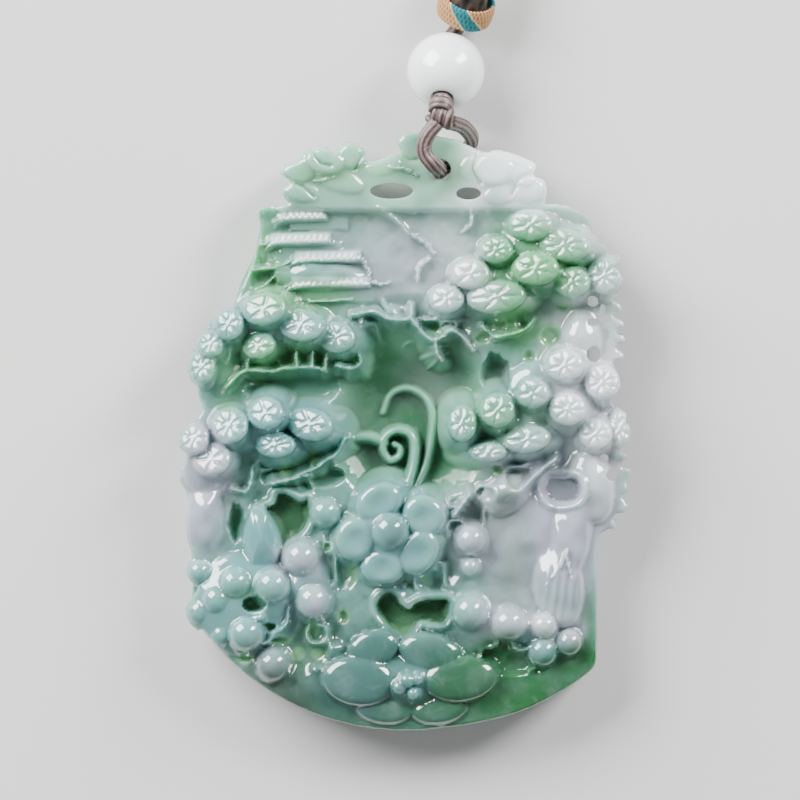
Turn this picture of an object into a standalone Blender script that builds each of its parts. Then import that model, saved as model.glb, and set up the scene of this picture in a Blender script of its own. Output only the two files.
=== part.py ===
"""Jade pendant on a braided neck cord, lying on its flat back with the carved face up.

Metres. +X runs to the right of the carving, +Y from its rounded foot to the crown and the bead,
and +Z out of the carved face. The carving is laid out in millimetres of a pendant 59.9 high.
"""

import math

import bmesh
import bpy
from mathutils import Matrix, Vector

# The plaque with its crown
PENDANT_HEIGHT = 0.0599
CARVING_HEIGHT = 59.9  # the same height, in the units of the carving's layout
UNIT = PENDANT_HEIGHT / CARVING_HEIGHT

# Cords, bead and ring
THIN_CORD_DIAMETER = 0.0016
CLEARANCE = 0.0003
BEAD_DIAMETER = 0.0078
COLLAR_DIAMETER = 0.0058
COLLAR_LENGTH = 0.0024
STEM_DIAMETER = 0.0039
NECK_CORD_DIAMETER = 0.003

# The coil of the neck cord: turns side by side in two layers
COIL_LAYER_TURNS = 2.9
COIL_INNER_LINE = 0.01065  # radius of the innermost turn's middle
TURN_PITCH = NECK_CORD_DIAMETER + 0.00005
COIL_LAYERS = 2
COIL_BEYOND = 0.0139  # clear surface between the stem's end and the coil
# Where each strand meets the coil, in degrees, and its way there in steps from the stem's end
OUT_MEETS = -40.0
OUT_ROUTE = [(0.0006, 0.0019, 0.0), (0.0020, 0.0064, 0.0), (0.0038, 0.0120, 0.0)]
BACK_MEETS = 250.0
BACK_ROUTE = [(0.0003, 0.00095, 0.0), (0.00057, 0.00339, 0.0), (-0.0001, 0.0057, 0.0), (-0.00158, 0.0076, 0.0001),
              (-0.00356, 0.00876, 0.0004), (-0.0090, 0.0107, 0.0017)]

CORD_HOLE_DIAMETER = THIN_CORD_DIAMETER + 2 * CLEARANCE
BEAD_BORE = THIN_CORD_DIAMETER + 2 * CLEARANCE

# Heights over the back, in layout units
DISH_FLOOR = 3.0
FIELD = 5.8
CROWN_BACK = 2.2
CROWN_FRONT = 6.8
HIGHEST = 10.4

CORD_HOLE = (3.5, 21.1)
BEAD_PLACE = (4.1, 31.1)
BORE_AXIS = Vector((0.10, 0.77, -0.63)).normalized()
COLLAR_SIDE = Vector((0.298, 0.954, 0.0)).normalized()
COLLAR_AXIS = Vector((0.25, 0.78, 0.57)).normalized()

# Round pads of the pine clouds: x, y, half width, half height, top, turn in degrees
PADS = {
    "upper_left": [
        (-14.1, 7.2, 2.3, 1.7, 9.9, 8),
        (-17.6, 5.7, 1.5, 1.7, 9.4, 0),
        (-19.4, 3.7, 1.3, 1.3, 8.8, 0),
        (-20.3, 1.4, 1.3, 1.7, 8.2, 0),
        (-14.6, 3.5, 1.6, 1.2, 9.0, 10),
        (-10.4, 5.6, 2.3, 1.7, 9.6, -8),
        (-6.9, 4.4, 2.0, 1.6, 8.9, -10),
    ],
    "middle_left": [
        (-17.5, -4.4, 1.9, 1.9, 9.4, 0),
        (-13.9, -3.2, 1.9, 1.7, 9.9, 0),
        (-9.5, -4.3, 2.4, 1.7, 9.5, -12),
        (-21.1, -5.7, 1.6, 1.7, 8.6, 0),
        (-13.0, -6.4, 2.1, 1.3, 9.0, 0),
        (-19.3, -7.8, 2.0, 1.7, 8.8, 15),
    ],
    "upper_right": [
        (12.5, 15.6, 2.3, 1.6, 9.0, 0),
        (9.1, 13.1, 1.7, 1.4, 8.8, 0),
        (15.9, 13.6, 2.6, 1.7, 9.6, -10),
        (6.5, 10.7, 2.0, 1.6, 8.7, 0),
        (13.0, 11.2, 2.4, 1.7, 10.2, 0),
        (16.6, 9.9, 1.9, 1.6, 9.4, 0),
        (19.9, 10.5, 1.8, 1.9, 8.9, 0),
        (4.1, 8.2, 1.8, 1.5, 8.3, 0),
        (9.1, 8.4, 3.0, 1.7, 9.3, 6),
    ],
    "middle_right": [
        (15.9, 1.6, 2.0, 1.7, 9.6, 0),
        (19.7, -0.1, 1.8, 1.8, 9.2, 0),
        (12.7, -1.2, 1.7, 1.6, 9.7, 0),
        (9.2, -2.9, 1.8, 1.8, 9.4, 0),
        (5.7, -4.2, 1.5, 1.9, 8.6, 0),
        (16.2, -2.8, 1.9, 1.7, 10.1, 0),
        (12.2, -5.8, 2.4, 1.4, 9.2, 8),
        (8.3, -7.1, 2.0, 1.0, 8.2, 0),
        (19.0, -5.3, 1.7, 1.6, 9.4, 0),
        (21.5, -4.6, 1.15, 2.2, 8.3, 0),
    ],
}

# Berries: x, y, radius, top
BERRIES = [
    (-8.0, -13.2, 1.6, 7.6),
    (-10.4, -17.7, 1.8, 9.2),
    (-9.2, -22.0, 1.8, 9.2),
    (-17.0, -20.2, 1.6, 8.8),
    (-13.3, -20.5, 1.8, 9.6),
    (-18.8, -21.9, 1.6, 8.2),
    (-20.6, -19.1, 1.25, 7.2),
    (-20.5, -23.1, 1.4, 7.2),
    (-15.9, -25.3, 1.8, 9.2),
    (-18.3, -25.4, 1.3, 7.4),
    (-13.2, -28.4, 1.8, 8.4),
    (6.6, -15.9, 1.5, 8.6),
    (6.5, -18.6, 0.9, 7.4),
    (6.5, -23.1, 1.8, 8.8),
    (10.4, -24.3, 1.8, 9.0),
    (13.9, -24.5, 1.3, 8.4),
    (13.8, -27.1, 1.6, 8.0),
    (16.4, -26.2, 1.4, 7.8),
]

# Petals, leaf and wings: x, y, half length, half width, top, turn in degrees
BLOSSOM = [
    (-1.9, -11.9, 2.1, 1.4, 9.3, 10),
    (1.9, -13.6, 1.8, 1.5, 9.5, 60),
    (1.2, -17.0, 2.0, 1.6, 9.3, -60),
    (-2.2, -18.6, 1.9, 1.5, 9.1, 0),
    (-4.8, -15.6, 2.1, 1.6, 9.3, 85),
]
BLOSSOM_CENTRE = (-1.4, -15.0, 1.7, 10.4)
FOOT_FLOWER = [
    (-3.2, -26.5, 2.7, 1.9, 7.8, 20),
    (-5.0, -29.9, 3.5, 2.4, 8.2, 0),
    (2.2, -26.9, 3.0, 1.8, 8.0, -15),
    (6.0, -29.7, 3.5, 2.4, 8.2, 0),
    (-2.2, -32.6, 3.0, 1.5, 7.2, -10),
    (3.4, -32.5, 2.9, 1.5, 7.2, 12),
]
FOOT_FLOWER_CENTRE = (0.2, -30.2, 1.3, 9.0)
LEAF = (-14.4, -15.6, 3.0, 2.2, 8.6, 80)

# Rock under the clouds where they stand out past the plate, and the bank at the lower right
ROCKS = [
    (-18.4, 2.2, 2.4, 3.6, 6.6, 0),
    (-20.2, -8.0, 2.3, 3.4, 7.0, 0),
    (-20.0, -13.6, 1.9, 3.6, 6.6, 0),
    (-18.8, -23.0, 2.8, 3.2, 6.4, 0),
    (-9.0, 10.6, 5.6, 1.6, 6.8, -4),
    (12.4, -15.6, 3.2, 6.0, 7.2, -28),
    (16.6, -15.0, 1.6, 5.6, 7.8, -8),
    (15.4, -20.6, 2.6, 4.2, 7.6, 10),
    (10.0, -11.4, 2.6, 2.0, 7.4, 30),
    (18.6, -10.6, 2.0, 3.6, 7.4, 8),
    (-15.6, -22.4, 5.6, 5.4, 7.6, -30),
    (10.6, -25.0, 5.6, 2.6, 7.0, -10),
    (-1.5, -15.2, 3.6, 3.8, 8.2, 0),
    (-9.8, -19.8, 2.4, 3.4, 7.4, 0),
]

# Branch crests: half width, height of the crest, points
BRANCHES = [
    (0.45, 6.9, [(-17.9, -0.6), (-16.1, 1.0), (-13.3, 1.0), (-12.0, 1.3), (-9.2, 1.4), (-7.6, 0.9)]),
    (0.40, 6.7, [(-6.8, 1.6), (-5.3, 1.3), (-4.4, 1.9), (-4.6, 2.8)]),
    (0.40, 6.8, [(-6.0, -5.7), (-6.8, -7.2), (-7.9, -7.9), (-8.9, -8.6), (-11.2, -9.6)]),
    (0.35, 6.7, [(-17.4, -10.7), (-16.0, -11.0), (-15.5, -10.3), (-15.2, -8.7)]),
    (0.40, 6.9, [(-5.2, 6.7), (-3.1, 7.0), (-1.7, 6.3), (0.4, 6.3), (0.6, 7.6)]),
    (0.45, 6.8, [(0.6, 6.3), (1.9, 4.7), (3.0, 4.2), (4.5, 5.1), (5.7, 4.5), (6.8, 3.1)]),
    (0.40, 6.9, [(7.7, 5.5), (8.7, 4.5), (10.4, 4.7), (12.0, 5.2), (12.9, 6.2)]),
    (0.40, 7.0, [(15.0, -7.8), (13.3, -9.1), (11.4, -10.9), (9.4, -11.6)]),
]

# Tendrils over the dished middle: half width, crest height at root and tip, points from root to tip
TENDRILS = [
    (0.55, 7.4, 6.2, [(0.9, -10.6), (1.5, -9.1), (2.3, -6.8), (2.8, -4.5), (2.7, -3.1), (1.8, -1.7),
                      (0.8, -1.0), (-0.1, -0.7), (-1.3, -1.4), (-1.9, -2.2), (-2.4, -3.1)]),
    (0.50, 7.2, 6.4, [(-0.1, -9.9), (0.4, -6.8), (0.6, -5.7), (0.0, -5.1), (-1.1, -4.9), (-2.1, -5.4),
                      (-2.7, -6.6), (-1.7, -7.9), (-0.9, -7.6)]),
    (0.40, 6.2, 5.6, [(-2.7, -6.5), (-4.0, -5.9), (-5.4, -6.1), (-6.2, -6.8), (-6.5, -7.9)]),
]

# Two-storey roofs at the upper left: left end, right end, lower edge, upper edge
ROOFS = [
    (-11.7, -8.2, 16.4, 17.3),
    (-13.0, -7.6, 13.6, 14.8),
    (-11.4, -4.3, 11.6, 12.7),
    (-10.7, -4.1, 9.4, 10.4),
]
ROOF_TOP = 7.3
TILE_PITCH = 0.75

# Sunk ground: x, y, half width, half height, floor
DISHES = [
    (-0.4, -2.6, 7.6, 8.2, DISH_FLOOR),
    (-11.2, -14.0, 3.9, 2.9, 3.2),
    (-1.2, -23.1, 1.9, 1.7, 3.2),
    (2.6, -23.0, 2.0, 1.3, 3.2),
    (15.6, -10.9, 1.9, 1.5, 4.4),
    (-16.9, -14.1, 0.7, 1.9, 4.2),
    (9.0, 0.6, 1.8, 2.2, 3.8),
]
# Small round pockets between the branches: x, y, half width, half height
POCKETS = [
    (-10.6, 2.7, 0.7, 0.8), (-8.6, 2.4, 0.6, 0.7), (-5.4, 2.5, 0.6, 0.7),
    (-9.2, -7.4, 0.4, 0.7), (-10.8, -7.8, 0.5, 0.6), (-7.9, -6.4, 0.4, 0.5),
    (12.5, 7.4, 0.6, 0.6), (9.5, 5.8, 0.6, 0.6), (11.6, 5.9, 0.6, 0.6),
    (7.8, 4.2, 0.8, 0.6), (14.4, 4.8, 0.9, 1.1), (11.7, 2.7, 0.7, 0.8),
    (3.3, 5.2, 0.6, 0.6), (9.2, -8.9, 0.7, 0.6), (3.6, -16.2, 0.5, 0.5),
    (-12.5, -25.9, 0.7, 1.1), (-8.6, -27.3, 0.8, 0.7), (-15.1, -22.3, 0.7, 0.5),
]
POCKET_FLOOR = 3.4

# Pierced right through the front layer, past the plate's edge: x, y, half width, half height
PIERCED_EDGE = [
    (18.8, 8.0, 0.6, 0.55), (19.8, 7.1, 0.3, 0.6), (18.8, 5.9, 0.55, 0.4), (20.1, 4.6, 0.3, 0.5),
    (18.9, 2.7, 0.7, 0.8), (19.9, -7.7, 0.45, 0.45), (20.7, -9.4, 0.6, 0.6),
]
# Pierced right through the crown, either side of the cord hole
PIERCED_CROWN = [(-1.35, 19.0, 2.15, 0.8), (6.35, 18.75, 1.25, 0.62)]

# The plate's foot is one arc: centre, radius, first and last angle
FOOT_ARC = (0.0, -9.6, 25.4, 217.0, 315.0)
FOOT_ARC_STEPS = 14
PLATE_RIGHT = [(19.2, -27.9), (19.2, -16.1), (18.7, -6.0), (18.4, 8.0), (18.2, 13.0), (17.2, 16.2),
               (15.4, 17.6)]
PLATE_LEFT = [(0.0, 17.6), (-14.2, 17.4), (-15.0, 12.8), (-16.4, 10.0), (-17.4, 7.0), (-18.4, 2.0),
              (-18.8, -2.6), (-20.6, -5.5), (-21.7, -9.0), (-21.7, -13.0), (-21.9, -16.4),
              (-21.3, -19.6), (-21.7, -22.6)]
# The openwork rock edge that stands out past the plate on the right, outer side from foot to top
FRINGE_OUTER = [(18.9, -16.0), (20.6, -14.6), (21.7, -13.0), (22.1, -11.4), (22.2, -9.0), (21.8, -7.2),
                (22.2, -5.0), (21.6, -2.4), (20.9, -1.0), (21.0, 1.4), (21.2, 3.4), (21.5, 5.4),
                (21.2, 7.4), (21.3, 9.4), (21.5, 11.2), (20.6, 13.0), (19.6, 14.2), (18.4, 16.0),
                (16.6, 17.2)]
FRINGE_INNER = [(14.0, 16.0), (15.0, 4.0), (14.6, -8.0), (16.6, -15.0)]
FRINGE_BACK, FRINGE_FRONT = 2.9, 6.4
TOOTH_PITCH, TOOTH_DEPTH = 1.5, 0.42
CROWN_OUTLINE = [
    (13.6, 17.0), (14.0, 17.9), (14.2, 19.2), (13.9, 20.1), (12.9, 20.6), (13.2, 21.6), (12.3, 22.2),
    (10.8, 22.8), (9.3, 23.15), (8.3, 23.0), (7.4, 23.1), (5.3, 24.1), (3.4, 24.5), (1.7, 24.9),
    (0.0, 24.8), (-0.8, 24.0), (-0.4, 22.8), (-1.3, 22.8), (-2.2, 22.3), (-3.7, 22.0), (-4.1, 23.2),
    (-5.4, 23.9), (-6.5, 23.6), (-7.1, 22.8), (-8.0, 23.5), (-10.2, 22.9), (-10.7, 22.1),
    (-12.1, 21.6), (-12.5, 20.8), (-11.5, 19.9), (-12.4, 19.0), (-11.7, 17.8), (-11.4, 17.0),
]
# Leaf lobes on the crown: x, y, half width, half height, top, turn in degrees
CROWN_LOBES = [
    (-10.6, 20.9, 1.9, 1.2, 8.2, 20), (-8.0, 21.9, 1.9, 1.3, 8.6, -10), (-5.3, 22.5, 1.3, 1.3, 8.2, 0),
    (-10.4, 18.9, 1.9, 1.0, 8.0, -10), (-6.6, 20.0, 2.6, 1.1, 8.0, -18), (-2.2, 21.4, 1.9, 0.9, 8.0, 12),
    (8.9, 21.2, 1.9, 1.6, 8.4, 0), (11.6, 20.8, 1.7, 1.2, 8.2, -30), (12.6, 19.0, 1.5, 1.2, 8.0, 0),
    (9.6, 18.6, 1.7, 1.0, 7.9, 10), (6.6, 21.2, 1.1, 1.2, 7.9, 0),
]


def place(x, y, z):
    """A point of the carving's layout, in metres."""
    return Vector((x, y, z)) * UNIT


def clear_scene():
    for old in list(bpy.data.objects):
        bpy.data.objects.remove(old)


def new_collection(name):
    made = bpy.data.collections.new(name)
    bpy.context.scene.collection.children.link(made)
    return made


def new_material(name, colour, roughness, subsurface=0.0):
    made = bpy.data.materials.new(name)
    made.use_nodes = True
    shader = made.node_tree.nodes["Principled BSDF"]
    shader.inputs["Base Color"].default_value = (*colour, 1.0)
    shader.inputs["Roughness"].default_value = roughness
    shader.inputs["Metallic"].default_value = 0.0
    shader.inputs["Subsurface Weight"].default_value = subsurface
    made.diffuse_color = (*colour, 1.0)
    return made


def object_of(bm, name, collection):
    """A mesh object of the bmesh, its faces turned outwards."""
    bmesh.ops.recalc_face_normals(bm, faces=bm.faces)
    mesh = bpy.data.meshes.new(name)
    bm.to_mesh(mesh)
    bm.free()
    made = bpy.data.objects.new(name, mesh)
    collection.objects.link(made)
    return made


def pebble(collection, name, shape, low, sides=12, rings=5, square=0.75, flutes=0.0):
    """A round-topped oval lump from the height low to its top, flatter on top as square falls."""
    x, y, half_x, half_y, top, turn = shape
    bm = bmesh.new()
    bmesh.ops.create_uvsphere(bm, u_segments=sides, v_segments=rings, radius=1.0)
    for vert in bm.verts:
        flat = math.hypot(vert.co.x, vert.co.y)
        spread = (flat ** square) / flat if flat > 1e-6 else 0.0
        angle = math.atan2(vert.co.y, vert.co.x)
        wave = 1.0 - flutes * (0.5 - 0.5 * math.cos(angle * sides / 2.0))
        vert.co.x *= spread * wave
        vert.co.y *= spread * wave
    middle = (low + top) / 2.0
    turned = Matrix.Rotation(math.radians(turn), 4, "Z")
    sized = Matrix.Diagonal((half_x * UNIT, half_y * UNIT, (top - low) / 2.0 * UNIT, 1.0))
    bm.transform(Matrix.Translation(place(x, y, middle)) @ turned @ sized)
    return object_of(bm, name, collection)


def as_mesh(curve_object, collection):
    """The curve's evaluated shape as a mesh object in its place, its caps welded."""
    bpy.context.view_layer.update()
    graph = bpy.context.evaluated_depsgraph_get()
    mesh = bpy.data.meshes.new_from_object(curve_object.evaluated_get(graph))
    name, where = curve_object.name, curve_object.matrix_world.copy()
    bpy.data.objects.remove(curve_object)
    made = bpy.data.objects.new(name, mesh)
    made.matrix_world = where
    collection.objects.link(made)
    bm = bmesh.new()
    bm.from_mesh(mesh)
    bmesh.ops.remove_doubles(bm, verts=bm.verts, dist=1e-7)
    bmesh.ops.recalc_face_normals(bm, faces=bm.faces)
    bm.to_mesh(mesh)
    bm.free()
    return made


def slab(collection, name, outline, low, high, rounding, steps=0):
    """A flat outline, as layout points, made solid between two heights, with rounded rims."""
    curve = bpy.data.curves.new(name, "CURVE")
    curve.dimensions = "2D"
    curve.fill_mode = "BOTH"
    curve.extrude = ((high - low) / 2.0 - rounding) * UNIT
    curve.bevel_depth = rounding * UNIT
    curve.bevel_resolution = steps
    curve.offset = -rounding * UNIT
    spline = curve.splines.new("POLY")
    spline.points.add(len(outline) - 1)
    for point, (x, y) in zip(spline.points, outline):
        point.co = (x * UNIT, y * UNIT, 0.0, 1.0)
    spline.use_cyclic_u = True
    made = bpy.data.objects.new(name, curve)
    made.location = place(0.0, 0.0, (low + high) / 2.0)
    collection.objects.link(made)
    return as_mesh(made, collection)


def smooth_line(points, steps):
    """Points of a smooth open curve through the given ones, steps to each stretch."""
    given = [Vector(p) for p in points]
    padded = [2 * given[0] - given[1], *given, 2 * given[-1] - given[-2]]
    line = []
    for a, b, c, d in zip(padded, padded[1:], padded[2:], padded[3:]):
        for step in range(steps):
            t = step / steps
            line.append(
                0.5 * ((2 * b) + (c - a) * t + (2 * a - 5 * b + 4 * c - d) * t * t
                       + (3 * b - a - 3 * c + d) * t * t * t)
            )
    line.append(given[-1])
    return line


def tube(collection, name, line, radius, resolution=2, thickness=None):
    """A round tube with filled caps along a line of points in metres."""
    curve = bpy.data.curves.new(name, "CURVE")
    curve.dimensions = "3D"
    curve.bevel_depth = radius
    curve.bevel_resolution = resolution
    curve.use_fill_caps = True
    spline = curve.splines.new("POLY")
    spline.points.add(len(line) - 1)
    for number, (point, at) in enumerate(zip(spline.points, line)):
        point.co = (*at, 1.0)
        point.radius = thickness[number] if thickness else 1.0
    made = bpy.data.objects.new(name, curve)
    collection.objects.link(made)
    return made


def turned(collection, name, profile, steps):
    """A closed (radius, height) profile turned about Z."""
    bm = bmesh.new()
    ring = [bm.verts.new((radius, 0.0, height)) for radius, height in profile]
    for a, b in zip(ring, ring[1:] + ring[:1]):
        bm.edges.new((a, b))
    bmesh.ops.spin(
        bm, geom=bm.verts[:] + bm.edges[:], cent=(0, 0, 0), axis=(0, 0, 1),
        angle=2 * math.pi, steps=steps, use_merge=True,
    )
    return object_of(bm, name, collection)


def drill(collection, name, shape, low, high, sides=10):
    """An upright oval cutter."""
    x, y, half_x, half_y = shape
    bm = bmesh.new()
    bmesh.ops.create_cone(bm, cap_ends=True, segments=sides, radius1=1.0, radius2=1.0, depth=1.0)
    sized = Matrix.Diagonal((half_x * UNIT, half_y * UNIT, (high - low) * UNIT, 1.0))
    bm.transform(Matrix.Translation(place(x, y, (low + high) / 2.0)) @ sized)
    return object_of(bm, name, collection)


def crest(collection, name, points, half_width, foot, tops, steps):
    """A branch: a rounded wall that follows the points, from the height foot to a sinking crest."""
    line = smooth_line([(x, y, 0.0) for x, y in points], steps)
    last = len(line) - 1
    bm = bmesh.new()
    sections = []
    for number, at in enumerate(line):
        along = line[min(number + 1, last)] - line[max(number - 1, 0)]
        side = Vector((-along.y, along.x, 0.0)).normalized()
        share = number / last
        top = tops[0] + (tops[1] - tops[0]) * share
        wide = half_width * (1.0 - 0.35 * share)
        section = []
        for across, height in ((-1.15, foot), (-0.75, top - 0.35), (0.0, top), (0.75, top - 0.35), (1.15, foot)):
            spot = at + side * (across * wide)
            section.append(bm.verts.new(place(spot.x, spot.y, height)))
        sections.append(section)
    for a, b in zip(sections, sections[1:]):
        for i in range(5):
            j = (i + 1) % 5
            bm.faces.new((a[i], a[j], b[j], b[i]))
    bm.faces.new(sections[0])
    bm.faces.new(list(reversed(sections[-1])))
    return object_of(bm, name, collection)


def roof(collection, number, shape):
    """A strip of roof with upturned ends, and a row of tile ribs across it."""
    left, right, lower, upper = shape
    mid = (left + right) / 2.0
    high = upper - lower
    outline = [(left - 0.5, lower + 0.1), (mid, lower - 0.15), (right + 0.9, lower + 0.25),
               (right, upper - 0.1), (mid, upper), (left + 0.3, upper)]
    strips = [slab(collection, f"roof_{number}", outline, FIELD - 1.0, ROOF_TOP - 0.5, 0.12)]
    ribs = int((right - left) / TILE_PITCH)
    for rib in range(ribs):
        x = left + (rib + 0.6) * (right - left) / ribs
        bm = bmesh.new()
        bmesh.ops.create_cone(
            bm, cap_ends=True, segments=5, radius1=0.34 * UNIT, radius2=0.24 * UNIT,
            depth=(high + 0.13) * UNIT,
        )
        leaning = Matrix.Rotation(math.radians(90.0), 4, "X")
        bm.transform(Matrix.Translation(place(x, (lower + upper) / 2.0 + 0.03, ROOF_TOP - 0.43)) @ leaning)
        strips.append(object_of(bm, f"tile_{number}_{rib}", collection))
    return strips


def plate_outline():
    x, y, radius, first, last = FOOT_ARC
    arc = []
    for step in range(FOOT_ARC_STEPS + 1):
        angle = math.radians(first + (last - first) * step / FOOT_ARC_STEPS)
        arc.append((x + radius * math.cos(angle), y + radius * math.sin(angle)))
    return arc + PLATE_RIGHT + PLATE_LEFT


def fringe_outline():
    """The outer side runs smoothly through its points and carries small rounded teeth."""
    line = smooth_line([(x, y, 0.0) for x, y in FRINGE_OUTER], 3)
    toothed, run = [], 0.0
    for before, at in zip([line[0], *line], line):
        run += (at - before).length
        out = TOOTH_DEPTH * abs(math.sin(math.pi * run / TOOTH_PITCH))
        toothed.append((at.x + out, at.y))
    return toothed + FRINGE_INNER


def boolean(target, name, operation, collection):
    made = target.modifiers.new(name, "BOOLEAN")
    made.operation = operation
    made.solver = "EXACT"
    made.operand_type = "COLLECTION"
    made.collection = collection


def hide_tools(collection):
    for tool in collection.objects:
        tool.hide_render = True
        tool.display_type = "WIRE"


def make_relief(collection):
    """Everything that stands up from the plate."""
    slab(collection, "fringe", fringe_outline(), FRINGE_BACK, FRINGE_FRONT, 0.3)
    slab(collection, "crown", CROWN_OUTLINE, CROWN_BACK, CROWN_FRONT, 0.3)
    for number, shape in enumerate(CROWN_LOBES):
        pebble(collection, f"crown_lobe_{number}", shape, CROWN_BACK + 1.0, sides=8, rings=4)
    for number, shape in enumerate(ROCKS):
        pebble(collection, f"rock_{number}", shape, 0.9, sides=9, rings=4, square=0.8)
    for cloud, pads in PADS.items():
        for number, shape in enumerate(pads):
            pebble(collection, f"{cloud}_{number}", shape, 2.4, sides=8, rings=4, square=0.5, flutes=0.12)
    for number, (x, y, radius, top) in enumerate(BERRIES):
        pebble(collection, f"berry_{number}", (x, y, radius, radius, top, 0),
               top - 2 * radius, sides=8, rings=5, square=1.0)
    for number, shape in enumerate(BLOSSOM):
        pebble(collection, f"petal_{number}", shape, 3.0, sides=10, rings=4, square=0.6)
    x, y, radius, top = BLOSSOM_CENTRE
    pebble(collection, "blossom_centre", (x, y, radius, radius, top, 0), top - 2 * radius,
           sides=10, rings=6, square=1.0)
    for number, shape in enumerate(FOOT_FLOWER):
        pebble(collection, f"foot_petal_{number}", shape, 2.2, sides=10, rings=4, square=0.7)
    x, y, radius, top = FOOT_FLOWER_CENTRE
    pebble(collection, "foot_flower_centre", (x, y, radius, radius, top, 0), 3.0, sides=10)
    pebble(collection, "leaf", LEAF, 3.0, sides=10, square=1.1)
    for number, (half_width, top, points) in enumerate(BRANCHES):
        crest(collection, f"branch_{number}", points, half_width, 2.6, (top, top - 0.4), 1)
    for number, (half_width, root, tip, points) in enumerate(TENDRILS):
        crest(collection, f"tendril_{number}", points, half_width, 2.4, (root, tip), 2)
    for number, shape in enumerate(ROOFS):
        roof(collection, number, shape)


def make_hollows(sunk, pierced):
    """Sunk ground cut before the relief is added, and openings cut right through at the end."""
    for number, (x, y, half_x, half_y, floor) in enumerate(DISHES):
        pebble(sunk, f"dish_{number}", (x, y, half_x, half_y, 2 * HIGHEST - floor, 0), floor,
               sides=12, rings=5, square=0.5)
    for number, (x, y, half_x, half_y) in enumerate(POCKETS):
        drill(sunk, f"pocket_{number}", (x, y, half_x, half_y), POCKET_FLOOR, HIGHEST, sides=6)
    for number, shape in enumerate(PIERCED_EDGE):
        drill(pierced, f"pierced_edge_{number}", shape, FRINGE_BACK - 0.6, HIGHEST, sides=8)
    for number, shape in enumerate(PIERCED_CROWN):
        drill(pierced, f"pierced_crown_{number}", shape, -1.0, HIGHEST, sides=14)
    half = CORD_HOLE_DIAMETER / 2.0 / UNIT
    drill(pierced, "cord_hole", (*CORD_HOLE, half, half), -1.0, HIGHEST, sides=16)


def make_pendant(part, stone):
    sunk = new_collection("sunk_ground")
    relief = new_collection("relief")
    pierced = new_collection("pierced")
    pendant = slab(part, "jade_pendant", plate_outline(), 0.0, FIELD, 0.5, 1)
    pendant.data.materials.append(stone)
    make_hollows(sunk, pierced)
    make_relief(relief)
    boolean(pendant, "sunk_ground", "DIFFERENCE", sunk)
    boolean(pendant, "relief", "UNION", relief)
    boolean(pendant, "pierced", "DIFFERENCE", pierced)
    for tools in (sunk, relief, pierced):
        hide_tools(tools)
    return pendant


def bead_centre():
    """The bead lies on the surface."""
    spot = place(*BEAD_PLACE, 0.0)
    spot.z = BEAD_DIAMETER / 2.0
    return spot


def aimed(made, centre, axis):
    made.matrix_world = Matrix.Translation(centre) @ axis.to_track_quat("Z", "Y").to_matrix().to_4x4()
    return made


def make_bead(part, stone):
    radius, bore = BEAD_DIAMETER / 2.0, BEAD_BORE / 2.0
    steps = 10
    start = math.asin(bore / radius)
    profile = []
    for step in range(steps + 1):
        angle = start + (math.pi - 2 * start) * step / steps
        profile.append((radius * math.sin(angle), radius * math.cos(angle)))
    bead = turned(part, "jade_bead", profile, 20)
    bead.data.materials.append(stone)
    return aimed(bead, bead_centre(), BORE_AXIS)


def collar_centre():
    """Beside the bead, at the height where the leaning ring touches the surface."""
    lean = math.asin(COLLAR_AXIS.z)
    height = COLLAR_DIAMETER / 2.0 * math.cos(lean) + COLLAR_LENGTH / 2.0 * math.sin(lean)
    spot = bead_centre() + COLLAR_SIDE * (BEAD_DIAMETER / 2.0 + COLLAR_DIAMETER / 2.0)
    spot.z = height
    return spot


def make_collar(part, braid):
    inner = STEM_DIAMETER / 2.0 + CLEARANCE
    outer = COLLAR_DIAMETER / 2.0
    middle, half_wall = (inner + outer) / 2.0, (outer - inner) / 2.0
    profile = []
    for step in range(8):
        angle = 2 * math.pi * step / 8
        bulge = abs(math.cos(angle)) ** 0.6 * math.copysign(1.0, math.cos(angle))
        profile.append((middle + half_wall * bulge, COLLAR_LENGTH / 2.0 * math.sin(angle)))
    ring = turned(part, "collar_knot", profile, 20)
    ring.data.materials.append(braid)
    return aimed(ring, collar_centre(), COLLAR_AXIS)


def knot_centres():
    """The upper lump sits on the bead's mouth, and the lower one just below it."""
    away = -BORE_AXIS
    upper = bead_centre() + away * (BEAD_DIAMETER / 2.0 + CLEARANCE + 0.55 * THIN_CORD_DIAMETER)
    lower = upper + Vector((0.00005, -0.0007, -0.0001))
    return upper, lower


def lump(collection, name, centre, half_sizes):
    bm = bmesh.new()
    bmesh.ops.create_uvsphere(bm, u_segments=10, v_segments=6, radius=1.0)
    bm.transform(Matrix.Translation(centre) @ Matrix.Diagonal((*half_sizes, 1.0)))
    return object_of(bm, name, collection)


def make_knot(part, satin):
    wraps = new_collection("knot_wraps")
    upper, lower = knot_centres()
    knot = lump(part, "loop_knot", lower,
                (0.95 * THIN_CORD_DIAMETER, 0.55 * THIN_CORD_DIAMETER, 0.72 * THIN_CORD_DIAMETER))
    knot.data.materials.append(satin)
    lump(wraps, "upper_wrap", upper,
         (0.5 * THIN_CORD_DIAMETER, 0.5 * THIN_CORD_DIAMETER, 0.5 * THIN_CORD_DIAMETER))
    boolean(knot, "upper_wrap", "UNION", wraps)
    hide_tools(wraps)
    return knot


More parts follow.
